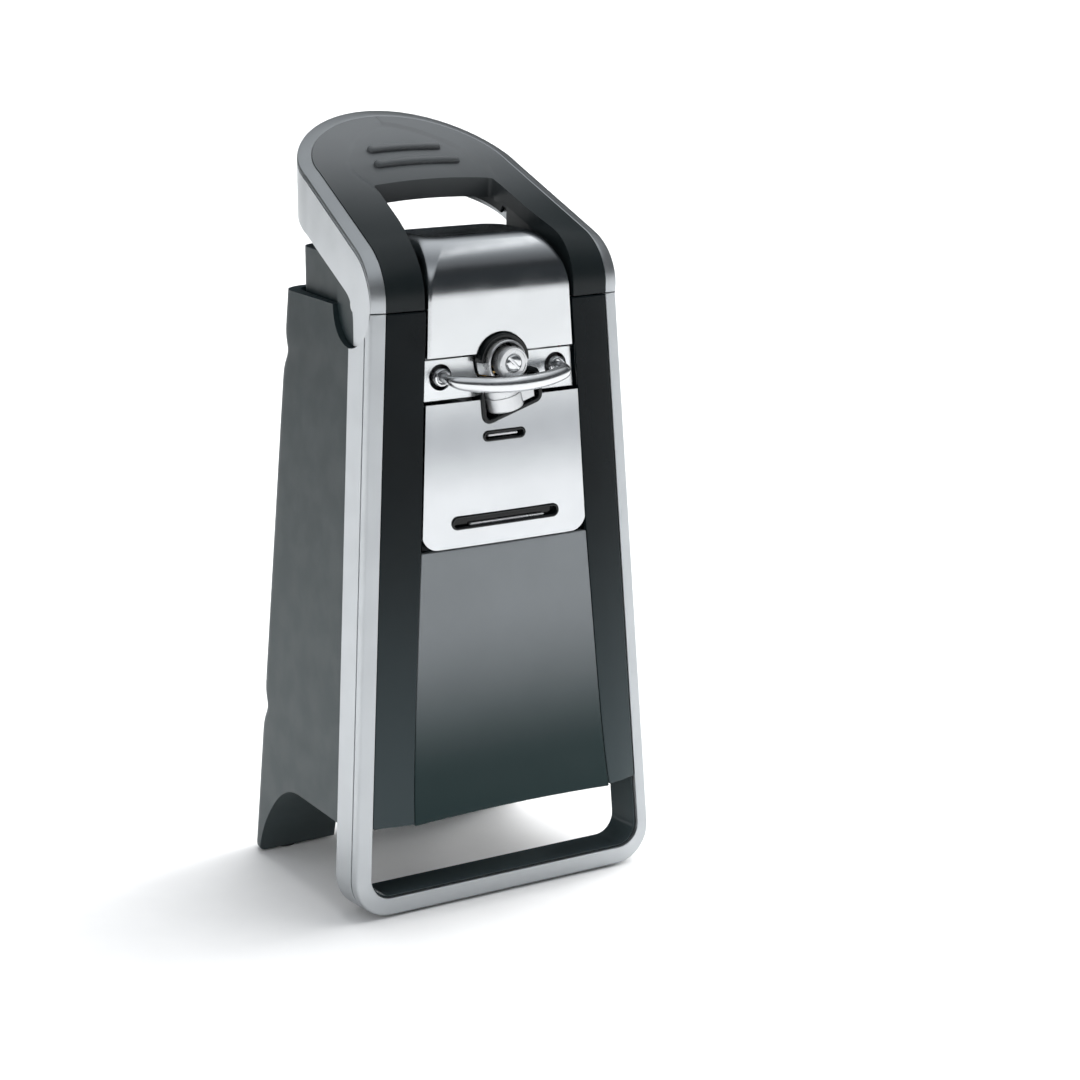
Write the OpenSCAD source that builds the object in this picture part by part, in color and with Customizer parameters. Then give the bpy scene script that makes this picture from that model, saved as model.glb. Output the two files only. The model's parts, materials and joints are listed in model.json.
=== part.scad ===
// Electric can opener: a leaning upright housing with a tilting lever on top, a gear-driven
// feed wheel, a cutting wheel on a sliding carriage, a shaded-pole motor and a scissors bay.
// The origin is at the middle of the footprint, on the surface that the feet stand on.
// Every node is drawn from the bottom front edge of the trim and then moved by place().

/* [Overall] */
// Width of the front trim frame at its base
base_w = 130; // [124:1:136]
// Height of the joint between the trim frame and the lever
joint_z = 221; // [219:1:223]
// Backward lean of the front, in degrees
lean = 1.58; // [1:0.02:2]
// How much each side narrows per millimetre of height
side_draft = 0.0606; // [0.055:0.0002:0.065]
// Depth of the trim frame from front to back
trim_depth = 16; // [14:1:18]
// Thickness of the rubber feet
foot_h = 0.8; // [0.5:0.1:1.5]

/* [Rear housing] */
// Depth of the housing at the floor
rear_y0 = 98.2; // [94:0.1:98.4]
// Depth of the housing at its top
rear_y1 = 85; // [83:0.5:87]
// Half width of the housing's back at the floor
rear_hw0 = 59; // [57:0.5:60]
// Half width of the housing's back at its top
rear_hw1 = 47.5; // [47:0.5:49]
// Radius of the rear corners at the floor
rear_r0 = 10; // [9:0.5:11]
// Radius of the rear corners at the top
rear_r1 = 12; // [11:0.5:13]
// Wall thickness of the plastic shells
wall = 2.5; // [2:0.1:3]

/* [Lever] */
// Rise of the lever's top, in degrees
lever_rise = 24.2; // [22:0.2:26]
// Distance of the pivot behind the base edge
hub_y = 21.8; // [21.4:0.1:22.2]
// Height of the pivot
hub_z = 222; // [221.5:0.5:222.5]
// Radius of the round hub
hub_r = 14.5; // [14:0.1:14.6]
// Rear end of the lever
lever_end = 98.5; // [96:0.5:100]
// Width of the silver rim
rim_w = 5.5; // [5:0.1:6]

/* [Mechanism] */
// Height of the drive shaft
drive_z = 200.6; // [200:0.2:201]
// Radius of the drive wheel's face
drive_r = 6; // [5.8:0.1:6.2]
// Tilt of the cutting wheel's axle, in degrees
cut_tilt = 14; // [12:1:16]
// Radius of the cutting wheel
cut_r = 6.7; // [6:0.1:6.9]
// Half distance between the guide loop's legs
loop_x = 24.3; // [24:0.1:24.6]

/* [Gears] */
// Module of the gear teeth
gear_m = 1; // [0.95:0.01:1]
// Teeth of the output gear
output_t = 40; // [38:2:40]
// Teeth of every reduction pinion
pinion_t = 12; // [12:1:13]
// Teeth of the second reduction wheel
second_t = 38; // [36:2:38]
// Teeth of the first reduction wheel
first_t = 36; // [34:2:36]
// Teeth on the motor shaft
motor_t = 10; // [10:1:11]

/* [Hidden] */
$fn = 48;
loop_front = -11.5;
y_mid = (loop_front + lever_end) / 2;
tiny = 0.01;
joint_gap = 0.3;
bar_h = 7.2;
corner_r = 14;
body_z = 34;
plate_z0 = 134.4;
plate_z1 = 187.2;
strip_z0 = 188.1;
strip_z1 = 203.4;
hood_z1 = 244.6;
hood_back = 57;
rear_slope = atan((rear_y0 - rear_y1) / joint_z);
skirt_z0 = 214;
skirt_z1 = 237;
skirt_end = 79;
skirt_r = 9;
well_end = 81.6;
lever_drop = 21.4;
lever_arc = 20;
crown_h = 3.6;
crown_r = 290;
plan_front = 51.7;
plan_taper = 0.105;
plan_turn = 64;
steel_y = 15.4;
gear_y = 19;
gear_t = 4;
gear_step = 5.2;
plate_gap = 18.4;
backlash = 0.25;
pin_r = 3;
run_gap = 0.05;

// Points of an arc
function arc(cx, cy, r, a0, a1, n = 8) =
    [for (i = [0:n]) [cx + r * cos(a0 + (a1 - a0) * i / n), cy + r * sin(a0 + (a1 - a0) * i / n)]];
// The trim frame's half width at a height
function half_width(z) = base_w / 2 - side_draft * z;
// The front plane's depth at a height
function front_y(z) = z * tan(lean);
// Half width of the front panel's seam and of the face plate
function seam(z) = 42.2 - 0.0725 * (z - 40);
function plate_hw(z) = 35.1 - 0.053 * (z - plate_z0);
// The rear wall's depth at a height
function back_y(z) = rear_y0 - (rear_y0 - rear_y1) * z / joint_z;
// Centre of one gear reached from another at a distance of half the teeth together
function step_to(from, teeth, angle) =
    from + (gear_m * teeth / 2 + backlash) * [cos(angle), sin(angle)];
// Turn of a gear with nb teeth, which meshes with one of na teeth turned by a, at angle phi from it
function mesh_turn(phi, a, na, nb) = phi + 180 - 180 / nb + (phi - a) * na / nb;

second_phi = 233;
first_phi = 307;
motor_phi = 270;
output_c = [0, drive_z];
second_c = step_to(output_c, output_t + pinion_t, second_phi);
first_c = step_to(second_c, second_t + pinion_t, first_phi);
motor_c = step_to(first_c, first_t + motor_t, motor_phi);
second_a = mesh_turn(second_phi, 0, output_t, pinion_t);
first_a = mesh_turn(first_phi, second_a, second_t, pinion_t);
motor_a = mesh_turn(motor_phi, first_a, first_t, motor_t);

// Moves a node from the bottom front edge to the origin
module place() translate([0, -y_mid, foot_h]) children();
// A sketch of width and height, extruded along Y from y0 back to y1
module along_y(y0, y1) translate([0, y1, 0]) rotate([90, 0, 0]) linear_extrude(y1 - y0) children();
// A sketch of depth and height, extruded along X between two widths
module along_x(x0, x1) translate([x0, 0, 0]) rotate([90, 0, 90]) linear_extrude(x1 - x0) children();
// A sketch of width and height on the leaning front, proud by front and thick backwards
module on_front(front, thick)
    rotate([-lean, 0, 0]) rotate([90, 0, 0]) translate([0, 0, front - thick])
        linear_extrude(thick) children();
// A sketch of width and height on the sloping rear wall, from in0 to in1 inside it
module on_back(in0, in1)
    translate([0, rear_y0, 0]) rotate([rear_slope, 0, 0]) rotate([90, 0, 0]) translate([0, 0, in0])
        linear_extrude(in1 - in0) children();
module rod_x(x0, x1, y, z, r) translate([x0, y, z]) rotate([0, 90, 0]) cylinder(r = r, h = x1 - x0);
module rod_y(y0, y1, x, z, r) translate([x, y1, z]) rotate([90, 0, 0]) cylinder(r = r, h = y1 - y0);
module rod_z(x, y, z0, z1, r) translate([x, y, z0]) cylinder(r = r, h = z1 - z0);
module both() for (s = [0, 1]) mirror([s, 0, 0]) children();
module box(x0, x1, y0, y1, z0, z1) translate([x0, y0, z0]) cube([x1 - x0, y1 - y0, z1 - z0]);
// Everything below the trim's flat bottom
module floor_cut() box(-90, 90, -30, 130, -20, 0);
// The circular joint between the lever and the body
module hub_cut() both() rod_x(43.9, 80, hub_y, hub_z, hub_r + joint_gap);
module stadium(length, height) polygon(concat(
    arc((length - height) / 2, 0, height / 2, -90, 90),
    arc((height - length) / 2, 0, height / 2, 90, 270)));

// A tapered front outline with two rounded bottom corners
module side_outline(inset, z0, z1, r) {
    x0 = half_width(z0 + r) - inset - r;
    x1 = half_width(z1) - inset;
    polygon(concat(arc(x0, z0 + r, r, -90, 0), [[x1, z1], [-x1, z1]], arc(-x0, z0 + r, r, 180, 270)));
}

module front_trim_frame() color([0.80, 0.82, 0.84]) place() difference() {
    on_front(0, trim_depth) difference() {
        side_outline(0, 0, joint_z - joint_gap, corner_r);
        side_outline(rim_w, bar_h, joint_z + 1, corner_r - rim_w);
    }
    floor_cut();
    hub_cut();
}

module front_bezel() color([0.10, 0.12, 0.13]) place() difference() {
    union() {
        on_front(-1, trim_depth - 1) difference() {
            side_outline(rim_w, bar_h, joint_z - joint_gap, corner_r - rim_w);
            side_outline(rim_w + 2, bar_h + 1.6, joint_z + 1, corner_r - rim_w - 2);
        }
        on_front(2.5, 4.5) difference() {
            intersection() {
                side_outline(rim_w, bar_h, joint_z - joint_gap, corner_r - rim_w);
                translate([-80, body_z]) square([160, joint_z - body_z - joint_gap]);
            }
            polygon([[-seam(38) + 3, 38], [seam(38) - 3, 38], [29, plate_z1], [-29, plate_z1]]);
            translate([-31.6, plate_z1 - 1]) square([63.2, 40]);
        }
    }
    hub_cut();
}

module front_lower_panel() color([0.27, 0.31, 0.32]) place()
    on_front(4.5, 2) polygon([
        [-seam(body_z), body_z], [seam(body_z), body_z],
        [seam(plate_z0 - 0.5), plate_z0 - 0.5], [-seam(plate_z0 - 0.5), plate_z0 - 0.5]]);

// Slots of the face plate: height, length, thickness
upper_slot = [173.8, 18, 4];
lower_slot = [143.4, 45.6, 5];
module slot(s, grow = 0) translate([0, s[0]]) stadium(s[1] + 2 * grow, s[2] + 2 * grow);

// The tilted pocket that the cutting wheel sits in
pocket = [[-7.4, 179.6], [14.6, 186.2], [13.4, 195.6], [-8.4, 193.6]];
pocket_mid = [3, 189];
module pocket_shape(grow) polygon([for (p = pocket) p + grow * (p - pocket_mid) / norm(p - pocket_mid)]);

module face_plate() color([0.84, 0.86, 0.88]) place() on_front(3.4, 0.9) difference() {
    polygon(concat(
        arc(plate_hw(plate_z0) - 6.8, plate_z0 + 6.5, 6.5, -90, 0),
        [[plate_hw(plate_z1), plate_z1], [-plate_hw(plate_z1), plate_z1]],
        arc(6.8 - plate_hw(plate_z0), plate_z0 + 6.5, 6.5, 180, 270)));
    slot(upper_slot);
    slot(lower_slot);
    pocket_shape(1.8);
}

module slot_trim(s) color([0.08, 0.09, 0.10]) place() {
    on_front(3.7, 4.7) difference() {
        slot(s);
        slot(s, -0.8);
    }
    on_front(0.4, 1.4) slot(s, -0.8);
}
module upper_slot_trim() slot_trim(upper_slot);
module lower_slot_trim() slot_trim(lower_slot);

module slot_bars() color([0.85, 0.86, 0.87]) place() on_front(2.2, 1.8) {
    translate([0, upper_slot[0]]) stadium(13, 1.2);
    translate([1, lower_slot[0] - 1]) stadium(32, 1.2);
}

module mechanism_strip() color([0.78, 0.80, 0.82]) place() on_front(0.2, 2.2) difference() {
    polygon([[-31.4, strip_z0], [31.4, strip_z0], [30.9, strip_z1], [-30.9, strip_z1]]);
    for (s = [-1, 1]) translate([s * loop_x, 196.4]) circle(r = 4.7);
    translate([0, drive_z]) circle(r = 10.6);
    pocket_shape(1.8);
}

module cutter_pocket() color([0.07, 0.08, 0.09]) place() difference() {
    on_front(3.9, 6.3) difference() {
        pocket_shape(1.8);
        pocket_shape(0);
    }
    rod_y(-20, 12, 0, drive_z, 10.6);
}

// A dark half-round shroud over the drive wheel, and a bright cone inside and below it
cap_r = 8;
cap_front = 0.4;
cone_back = 4.4;
module drive_cap() color([0.09, 0.10, 0.11]) place() difference() {
    rod_y(cap_front, steel_y, 0, drive_z, 10.2);
    rod_y(cap_front - 1, steel_y + 1, 0, drive_z, cap_r);
    box(-20, 20, -5, cone_back, 180, drive_z);
    box(-20, 20, -5, 12, 180, drive_z - 4.5);
}

module drive_cone() color([0.80, 0.81, 0.82]) place() difference() {
    translate([0, cone_back, drive_z]) rotate([90, 0, 0]) cylinder(r1 = 9.9, r2 = 7.6, h = cone_back + 1.4);
    rod_y(-3, cone_back + 1, 0, drive_z, 6.9);
    difference() {
        box(-20, 20, -5, 12, drive_z - 0.2, drive_z + 20);
        rod_y(-6, 13, 0, drive_z, cap_r - 0.1);
    }
    box(-20, 20, -5, 12, 180, drive_z - 4.5);
}

// Side view of the hood, inset from its outer faces
module hood_side(inset) {
    f = front_y(strip_z1) - 3 + inset;
    r = 14 - inset;
    t = hood_z1 - inset;
    polygon(concat([[f, strip_z1 + 0.4 - 2 * inset]], arc(f + r, t - r, r, 180, 90),
        [[hood_back - 12, t]], arc(hood_back - 12 - inset, t - 12 - inset / 4, 12, 90, 0),
        [[hood_back - inset, 210 - 2 * inset]]));
}
module hood_front(inset) {
    r = 13;
    polygon(concat([[30.9 - inset, 190]], arc(29.6 - r - inset, hood_z1 - r, r, 0, 90),
        arc(r + inset - 29.6, hood_z1 - r, r, 90, 180), [[inset - 30.9, 190]]));
}

module motor_hood() color([0.83, 0.85, 0.87]) place() difference() {
    intersection() {
        along_x(-32, 32) hood_side(0);
        along_y(-5, 80) hood_front(0);
    }
    intersection() {
        along_x(-32, 32) hood_side(2);
        along_y(-5, 80) hood_front(2);
    }
    rod_y(-10, 14, 0, drive_z, 10.6);
    both() box(27, 33, 7.4, 16, 200, 208);
}

// One hull between the floor and the joint, inset from the outer faces, with its front moved by ahead
module housing_body(inset, z0, z1, ahead = 0) {
    hull() for (z = [z0, z1]) {
        hw = rear_hw0 - (rear_hw0 - rear_hw1) * z / joint_z;
        r = rear_r0 - (rear_r0 - rear_r1) * z / joint_z;
        wide = half_width(z) - 0.6 - inset;
        front = front_y(z) + trim_depth + tiny - ahead;
        box(-wide, wide, front, front + 1, z, z + tiny);
        both() translate([hw - r, back_y(z) - r, z])
            cylinder(r = r - inset, h = tiny, $fn = 32);
    }
}
// Space under the body, arched in front of the rear leg, lowered by thick
module arch_side(thick) polygon([
    [-20, -40], [88 + thick, -40], [88 + thick, 0], [85.6 + thick, 8 + thick / 2],
    [82 + thick, 15 + thick / 2], [76 + thick / 2, 23 + thick], [70, 28 + thick], [62, 31.6 + thick],
    [52, base_z0 + thick], [-20, base_z0 + thick]]);
// The opening that the skirt moves in
module skirt_plan(inset, end) {
    w = plan_front - plan_taper * (end - 6) - inset;
    w0 = plan_front - inset;
    r = skirt_r + inset / 2;
    polygon(concat([[w0, 6]], arc(w - r, end - r, r, 0, 90), arc(r - w, end - r, r, 90, 180), [[-w0, 6]]));
}
screw_spots = [[44, 46], [-44, 46], [39, 207], [-39, 207]];

module rear_housing() color([0.27, 0.30, 0.32]) place() difference() {
    union() {
        difference() {
            housing_body(0, 0, joint_z - joint_gap);
            housing_body(wall, -3, joint_z - wall - joint_gap, 2);
        }
        intersection() {
            housing_body(0.5, 0, joint_z - 3);
            along_x(-60, 60) difference() {
                arch_side(wall);
                translate([-20, -60]) square([74, 110]);
            }
        }
        both() translate([46, rear_foot_y, 0]) cylinder(r = 4.6, h = 12);
    }
    along_x(-70, 70) arch_side(0);
    floor_cut();
    translate([0, 0, joint_z - 30]) linear_extrude(40) difference() {
        skirt_plan(0.6, well_end);
        translate([-70, -20]) square([140, 48]);
    }
    box(-43.9, 43.9, trim_depth, 30, joint_z - 6, joint_z + 10);
    along_y(80, 120) rear_arch();
    on_back(-1, 6) cover_outline(0.15);
    for (p = screw_spots) on_back(-1, 8) translate(p) circle(r = 1.8);
    for (p = screw_spots) on_back(-1, 1) translate(p) circle(r = 3.6);
    hub_cut();
}

// Low arch between the two rear legs
module rear_arch() polygon(concat([[-26, -5]], arc(-18, 6, 8, 180, 90), arc(18, 6, 8, 90, 0), [[26, -5]]));

// Outline of the rear cover, and of the scissors bay in it
module cover_outline(grow) polygon([
    [-41 - grow, 60 - grow], [41 + grow, 60 - grow],
    [35.5 + grow, 198 + grow], [-35.5 - grow, 198 + grow]]);
module bay_outline(grow) polygon(concat(
    arc(9, 71, 5 + grow, -90, 0), [[14 + grow, 112], [28 + grow, 130]], arc(22, 186, 6 + grow, 0, 90),
    arc(-22, 186, 6 + grow, 90, 180), [[-28 - grow, 130], [-14 - grow, 112]],
    arc(-9, 71, 5 + grow, 180, 270)));

module rear_cover() color([0.25, 0.28, 0.30]) place() difference() {
    union() {
        on_back(0.3, wall) cover_outline(-0.15);
        on_back(wall - tiny, 11) bay_outline(1.8);
    }
    on_back(-1, 9.2) bay_outline(0);
}

// The base plate, with vents and the cord's inlet
base_z0 = 33;
base_z1 = 35.4;
inlet = [46.4, 20];
module base_plate() color([0.12, 0.13, 0.14]) place() difference() {
    box(-55, 55, 3, 53.5, base_z0, base_z1);
    for (i = [-4:4]) box(i * 9 - 2, i * 9 + 2, 26, 46, base_z0 - 1, base_z1 + 1);
    rod_z(inlet[0], inlet[1], base_z0 - 1, base_z1 + 1, 6);
}

module housing_screws() color([0.60, 0.62, 0.64]) place() for (p = screw_spots) {
    on_back(-0.4, 1) translate(p) difference() {
        circle(r = 3.4);
        square([4.2, 0.8], center = true);
        square([0.8, 4.2], center = true);
    }
    on_back(1 - tiny, 6.5) translate(p) circle(r = 1.7);
}

rear_foot_y = 92.3;
feet_spots = [[46, 8], [-46, 8], [46, rear_foot_y], [-46, rear_foot_y]];
module rubber_feet() color([0.08, 0.08, 0.08]) place()
    for (p = feet_spots) translate([p[0], p[1], -foot_h]) cylinder(r = 4.2, h = foot_h);

module cord_grommet() color([0.07, 0.07, 0.07]) place() difference() {
    union() {
        rod_z(inlet[0], inlet[1], base_z0 - 1.5, base_z0, 8);
        rod_z(inlet[0], inlet[1], base_z0, base_z1, 6);
        rod_z(inlet[0], inlet[1], base_z1, base_z1 + 1.6, 8);
    }
    rod_z(inlet[0], inlet[1], base_z0 - 3, base_z1 + 3, 3.4);
}

// Plates of the gearbox
module plate_shape() difference() {
    polygon([[-32, 118], [32, 118], [32, 198], [28.4, 202], [28.4, 213],
        [-28.4, 213], [-28.4, 202], [-32, 198]]);
    translate(output_c) circle(r = 6);
    for (p = post_spots) translate(p) circle(r = 1.6);
    for (p = [second_c, first_c]) translate(p) circle(r = 2);
}
post_spots = [[-28, 122], [28, 122], [-24.5, 209], [24.5, 209]];
module mechanism_plate() color([0.62, 0.64, 0.66]) place() along_y(steel_y, steel_y + 2) plate_shape();
module gearbox_plate() color([0.62, 0.64, 0.66]) place()
    along_y(gear_y + plate_gap - 2, gear_y + plate_gap) difference() {
        plate_shape();
        translate(motor_c) circle(r = 8);
    }
module spacer_posts() color([0.70, 0.71, 0.72]) place() for (p = post_spots) {
    rod_y(steel_y + 2, gear_y + plate_gap - 2, p[0], p[1], 3);
    rod_y(steel_y - 2, gear_y + plate_gap + 2, p[0], p[1], 1.6);
}

module drive_bushing() color([0.72, 0.55, 0.28]) place() difference() {
    union() {
        for (y = [steel_y, gear_y + plate_gap - 2]) rod_y(y, y + 2, 0, drive_z, 6);
        rod_y(steel_y - 2, steel_y, 0, drive_z, 7.5);
        rod_y(gear_y + plate_gap, gear_y + plate_gap + 2, 0, drive_z, 7.5);
    }
    rod_y(0, 60, 0, drive_z, pin_r + run_gap);
}

module gear_studs() color([0.70, 0.71, 0.72]) place()
    for (p = [second_c, first_c]) rod_y(steel_y, gear_y + plate_gap + 1, p[0], p[1], 2);

// A spur gear outline with straight-flanked teeth
module gear_outline(teeth) {
    r = gear_m * teeth / 2;
    pitch = 360 / teeth;
    polygon([for (i = [0:teeth - 1]) for (q = [[-0.29, -1.1], [-0.12, 0.9], [0.12, 0.9], [0.29, -1.1]])
        (r + gear_m * q[1]) * [cos((i + q[0]) * pitch), sin((i + q[0]) * pitch)]]);
}
module gear(c, teeth, turn, y0, thick)
    along_y(y0, y0 + thick) translate(c) rotate(turn) gear_outline(teeth);

module output_gear() color([0.70, 0.60, 0.40]) place() difference() {
    gear(output_c, output_t, 0, gear_y, gear_t);
    rod_y(0, 60, 0, drive_z, pin_r);
    for (a = [0:60:300]) rod_y(0, 60, 12 * cos(a), drive_z + 12 * sin(a), 3.2);
}
module drive_shaft() color([0.66, 0.67, 0.68]) place() {
    rod_y(-2, gear_y + plate_gap + 4, 0, drive_z, pin_r);
    rod_y(gear_y - 1, gear_y, 0, drive_z, 5);
}
module drive_wheel() color([0.75, 0.76, 0.77]) place() difference() {
    union() {
        rod_y(-5.4, -3, 0, drive_z, drive_r);
        along_y(-3, 1) translate(output_c) polygon([for (i = [0:47])
            (i % 2 == 0 ? 5.6 : 5) * [cos(i * 7.5), sin(i * 7.5)]]);
    }
    rod_y(-2, 9, 0, drive_z, pin_r);
    rod_y(-9, 9, 0, drive_z, 1.6);
    rod_y(-9, -4.6, 0, drive_z, 3.2);
}
module drive_screw() color([0.86, 0.87, 0.88]) place() {
    difference() {
        rod_y(-6.2, -4.6, 0, drive_z, 3.2);
        along_y(-7, -5.6) translate(output_c) rotate(-45) square([6, 1], center = true);
    }
    rod_y(-4.6 - tiny, -2, 0, drive_z, 1.6);
}

module compound(c, teeth, turn, step) {
    y0 = gear_y + gear_step * step;
    y1 = y0 + gear_step;
    difference() {
        union() {
            gear(c, pinion_t, turn, y0, gear_t);
            gear(c, teeth, turn, y1, gear_t - 0.4);
            rod_y(y0, y1 + gear_t - 0.4, c[0], c[1], 4.5);
        }
        rod_y(0, 60, c[0], c[1], 2 + run_gap);
        for (a = [0:60:300]) rod_y(y1 - 1, 60, c[0] + 12 * cos(a), c[1] + 12 * sin(a), 3);
    }
}
module second_gear() color([0.90, 0.88, 0.82]) place() compound(second_c, second_t, second_a, 0);
module first_gear() color([0.90, 0.88, 0.82]) place() compound(first_c, first_t, first_a, 1);

// Shaded-pole motor
stator_y = 46;
stator_t = 18;
rotor_r = 13.6;
module motor_stator() color([0.45, 0.45, 0.46]) place() along_y(stator_y, stator_y + stator_t)
    translate(motor_c) difference() {
        translate([-26, -31]) square([52, 50]);
        circle(r = rotor_r + 0.4);
        for (s = [-1, 1]) translate([s * 16 - 7, -26]) square([14, 9.5]);
        for (s = [-1, 1]) translate([s * 22.5, 15]) circle(r = 2.1);
    }
// The winding, a ring around the stator's lower leg
module motor_coil() color([0.62, 0.32, 0.16]) place() difference() {
    along_y(stator_y - 4, stator_y + stator_t + 4) translate(motor_c + [-21, -25.7]) square([42, 8.9]);
    along_y(stator_y, stator_y + stator_t) translate(motor_c + [-9, -27]) square([18, 12]);
}
// A bearing bracket across the stator, with two legs reaching into it
module bracket(y0, y1, reach) {
    difference() {
        union() {
            along_y(y0, y1) translate(motor_c) {
                translate([-27, 9]) square([54, 12]);
                translate([-7, -6]) square([14, 20]);
            }
            rod_y(y0 - 1.5, y1 + 1.5, motor_c[0], motor_c[1], 6);
        }
        rod_y(0, 90, motor_c[0], motor_c[1], 2.5 + run_gap);
    }
    for (s = [-1, 1]) rod_y(min(y0, reach), max(y1, reach), motor_c[0] + s * 22.5, motor_c[1] + 15, 2);
}
module front_bracket() color([0.68, 0.69, 0.70]) place() bracket(stator_y - 4, stator_y - 2, stator_y + 8);
module rear_bracket() color([0.68, 0.69, 0.70]) place()
    bracket(stator_y + stator_t + 2, stator_y + stator_t + 4, stator_y + stator_t - 9);
module motor_rotor() color([0.55, 0.55, 0.56]) place() difference() {
    rod_y(stator_y + 1, stator_y + stator_t - 1, motor_c[0], motor_c[1], rotor_r);
    rod_y(0, 90, motor_c[0], motor_c[1], 2.5);
}
module motor_shaft() color([0.72, 0.73, 0.74]) place() {
    rod_y(33, stator_y + stator_t + 10, motor_c[0], motor_c[1], 2.5);
    gear(motor_c, motor_t, motor_a, gear_y + 2 * gear_step, gear_t - 0.4);
}
module cooling_fan() color([0.85, 0.85, 0.83]) place() difference() {
    union() {
        y0 = stator_y + stator_t + 6;
        rod_y(y0, y0 + 4, motor_c[0], motor_c[1], 5);
        for (a = [0:45:315])
            along_y(y0, y0 + 4) translate(motor_c) rotate(a) translate([0, -0.6]) square([19, 1.2]);
    }
    rod_y(0, 90, motor_c[0], motor_c[1], 2.5);
}

switch_x = 40;
switch_y = 30;
module power_switch() color([0.12, 0.12, 0.13]) place() difference() {
    box(36, 44, 24, 42, 178, 196);
    rod_z(switch_x, switch_y, 182, 210, 2.5 + run_gap);
}
module switch_plunger() color([0.75, 0.15, 0.12]) place() rod_z(switch_x, switch_y, 186, 204.6, 2.5);
module terminal_block() color([0.90, 0.90, 0.86]) place() difference() {
    box(26, 46, 38, 50, base_z1, base_z1 + 10);
    for (x = [29.5, 36, 42.5]) rod_y(30, 60, x, base_z1 + 5, 2);
}

module pivot_brackets() color([0.66, 0.67, 0.68]) place() both() difference() {
    box(39.5, 43.5, 13.5, 26.5, 200, 228);
    rod_x(30, 60, hub_y, hub_z, pin_r);
}
module pivot_pins() color([0.75, 0.76, 0.77]) place() both() {
    rod_x(39.5, 49.5, hub_y, hub_z, pin_r);
    rod_x(36.5, 39.5, hub_y, hub_z, 4.5);
}
module lever_spring() color([0.60, 0.61, 0.62]) place() {
    for (i = [0:2]) translate([-37 - i * 0.8, hub_y, hub_z]) rotate([0, 90, 0])
        rotate_extrude() translate([5.3, 0]) circle(r = 0.5, $fn = 16);
    rod_y(hub_y, hub_y + 18, -38, hub_z - 5.3, 0.5);
}

// Side view of the lever's top, lifted along the slope and moved out at the front
function line_z(y) = 247.5 + (y - 28) * tan(lever_rise);
function top_curve(lift, out) =
    let(r = lever_arc + out,
        cy = front_y(joint_z) + 0.2 - out + r,
        cz = line_z(cy) + (lift - r) / cos(lever_rise))
    concat([[cy - r, joint_z]], arc(cy, cz, r, 180, 90 + lever_rise),
        [[lever_end + 5, line_z(lever_end + 5) + lift / cos(lever_rise)], [lever_end + 5, joint_z]]);
function low_z(y) = line_z(y) - lever_drop;
// Side view of the space under the band
module under_band() polygon(concat(
    [[hub_y, 190]], arc(hub_y + 11, 218.5, 11, 180, 90 + lever_rise),
    [[110, low_z(110)], [110, 190]]));
module plan(inset) {
    w0 = plan_front - inset;
    w1 = plan_front - plan_taper * (plan_turn - 6) - inset;
    polygon(concat([[-w0, 6 - 20], [w0, 6 - 20], [w0, 6]],
        [for (a = [0:7.5:180]) [w1 * cos(a), plan_turn + (lever_end - plan_turn - inset) * sin(a)]],
        [[-w0, 6]]));
}
module plan_z(inset) translate([0, 0, 190]) linear_extrude(110) plan(inset);
// A wide cylinder along the slope, which crowns the lever's top between its two edges
module crown(lift)
    translate([0, 28, 247.5]) rotate([lever_rise, 0, 0]) translate([0, 0, crown_h + lift - crown_r])
        rotate([90, 0, 0]) cylinder(r = crown_r, h = 400, center = true, $fn = 240);

module lever_band() color([0.80, 0.82, 0.84]) place() difference() {
    intersection() {
        crown(0);
        difference() {
            plan_z(0);
            plan_z(rim_w);
        }
        union() {
            along_x(-60, 60) difference() {
                polygon(top_curve(crown_h, 0));
                under_band();
            }
            difference() {
                rod_x(-60, 60, hub_y, hub_z, hub_r);
                box(-70, 70, hub_y, 60, 190, 250);
            }
        }
    }
    both() rod_x(40, 49.8, hub_y, hub_z, pin_r + run_gap);
}

cross_y = 50.6;
flange_x = 31.5;
flange_t = 1.7;
cover_t = 4;
module window_plan() polygon([
    [-31.4, -20], [31.4, -20], [31.2, 13], [28.6, 24], [26.2, 42], [25.2, cross_y],
    [-25.2, cross_y], [-26.2, 42], [-28.6, 24], [-31.2, 13]]);
// The space below the cover's crowned underside
module under_cover() intersection() {
    crown(1 - cover_t);
    along_x(-60, 60) polygon(top_curve(crown_h + 1 - cover_t, 1 - cover_t));
}
module lever_cover() color([0.16, 0.18, 0.19]) place() {
    difference() {
        intersection() {
            crown(1);
            plan_z(rim_w);
            along_x(-60, 60) polygon(top_curve(crown_h + 1, 1));
        }
        under_cover();
        translate([0, 0, 200]) linear_extrude(100) window_plan();
    }
    for (y = [cross_y + 11.2, cross_y + 20.8])
        translate([0, y, line_z(y) + crown_h + 1]) rotate([lever_rise, 0, 0])
            box(-17, 17, -1.6, 1.6, -1, 1.4);
    both() along_x(flange_x, flange_x + flange_t) intersection() {
        polygon(top_curve(-0.6, -1.4));
        polygon([[0, joint_z + 1.5], [24, joint_z + 1.5], [50, 238.5], [50, 300], [0, 300]]);
    }
}

module under_band_x() along_x(-60, 60) under_band();
deck_t = 2.2;
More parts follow.
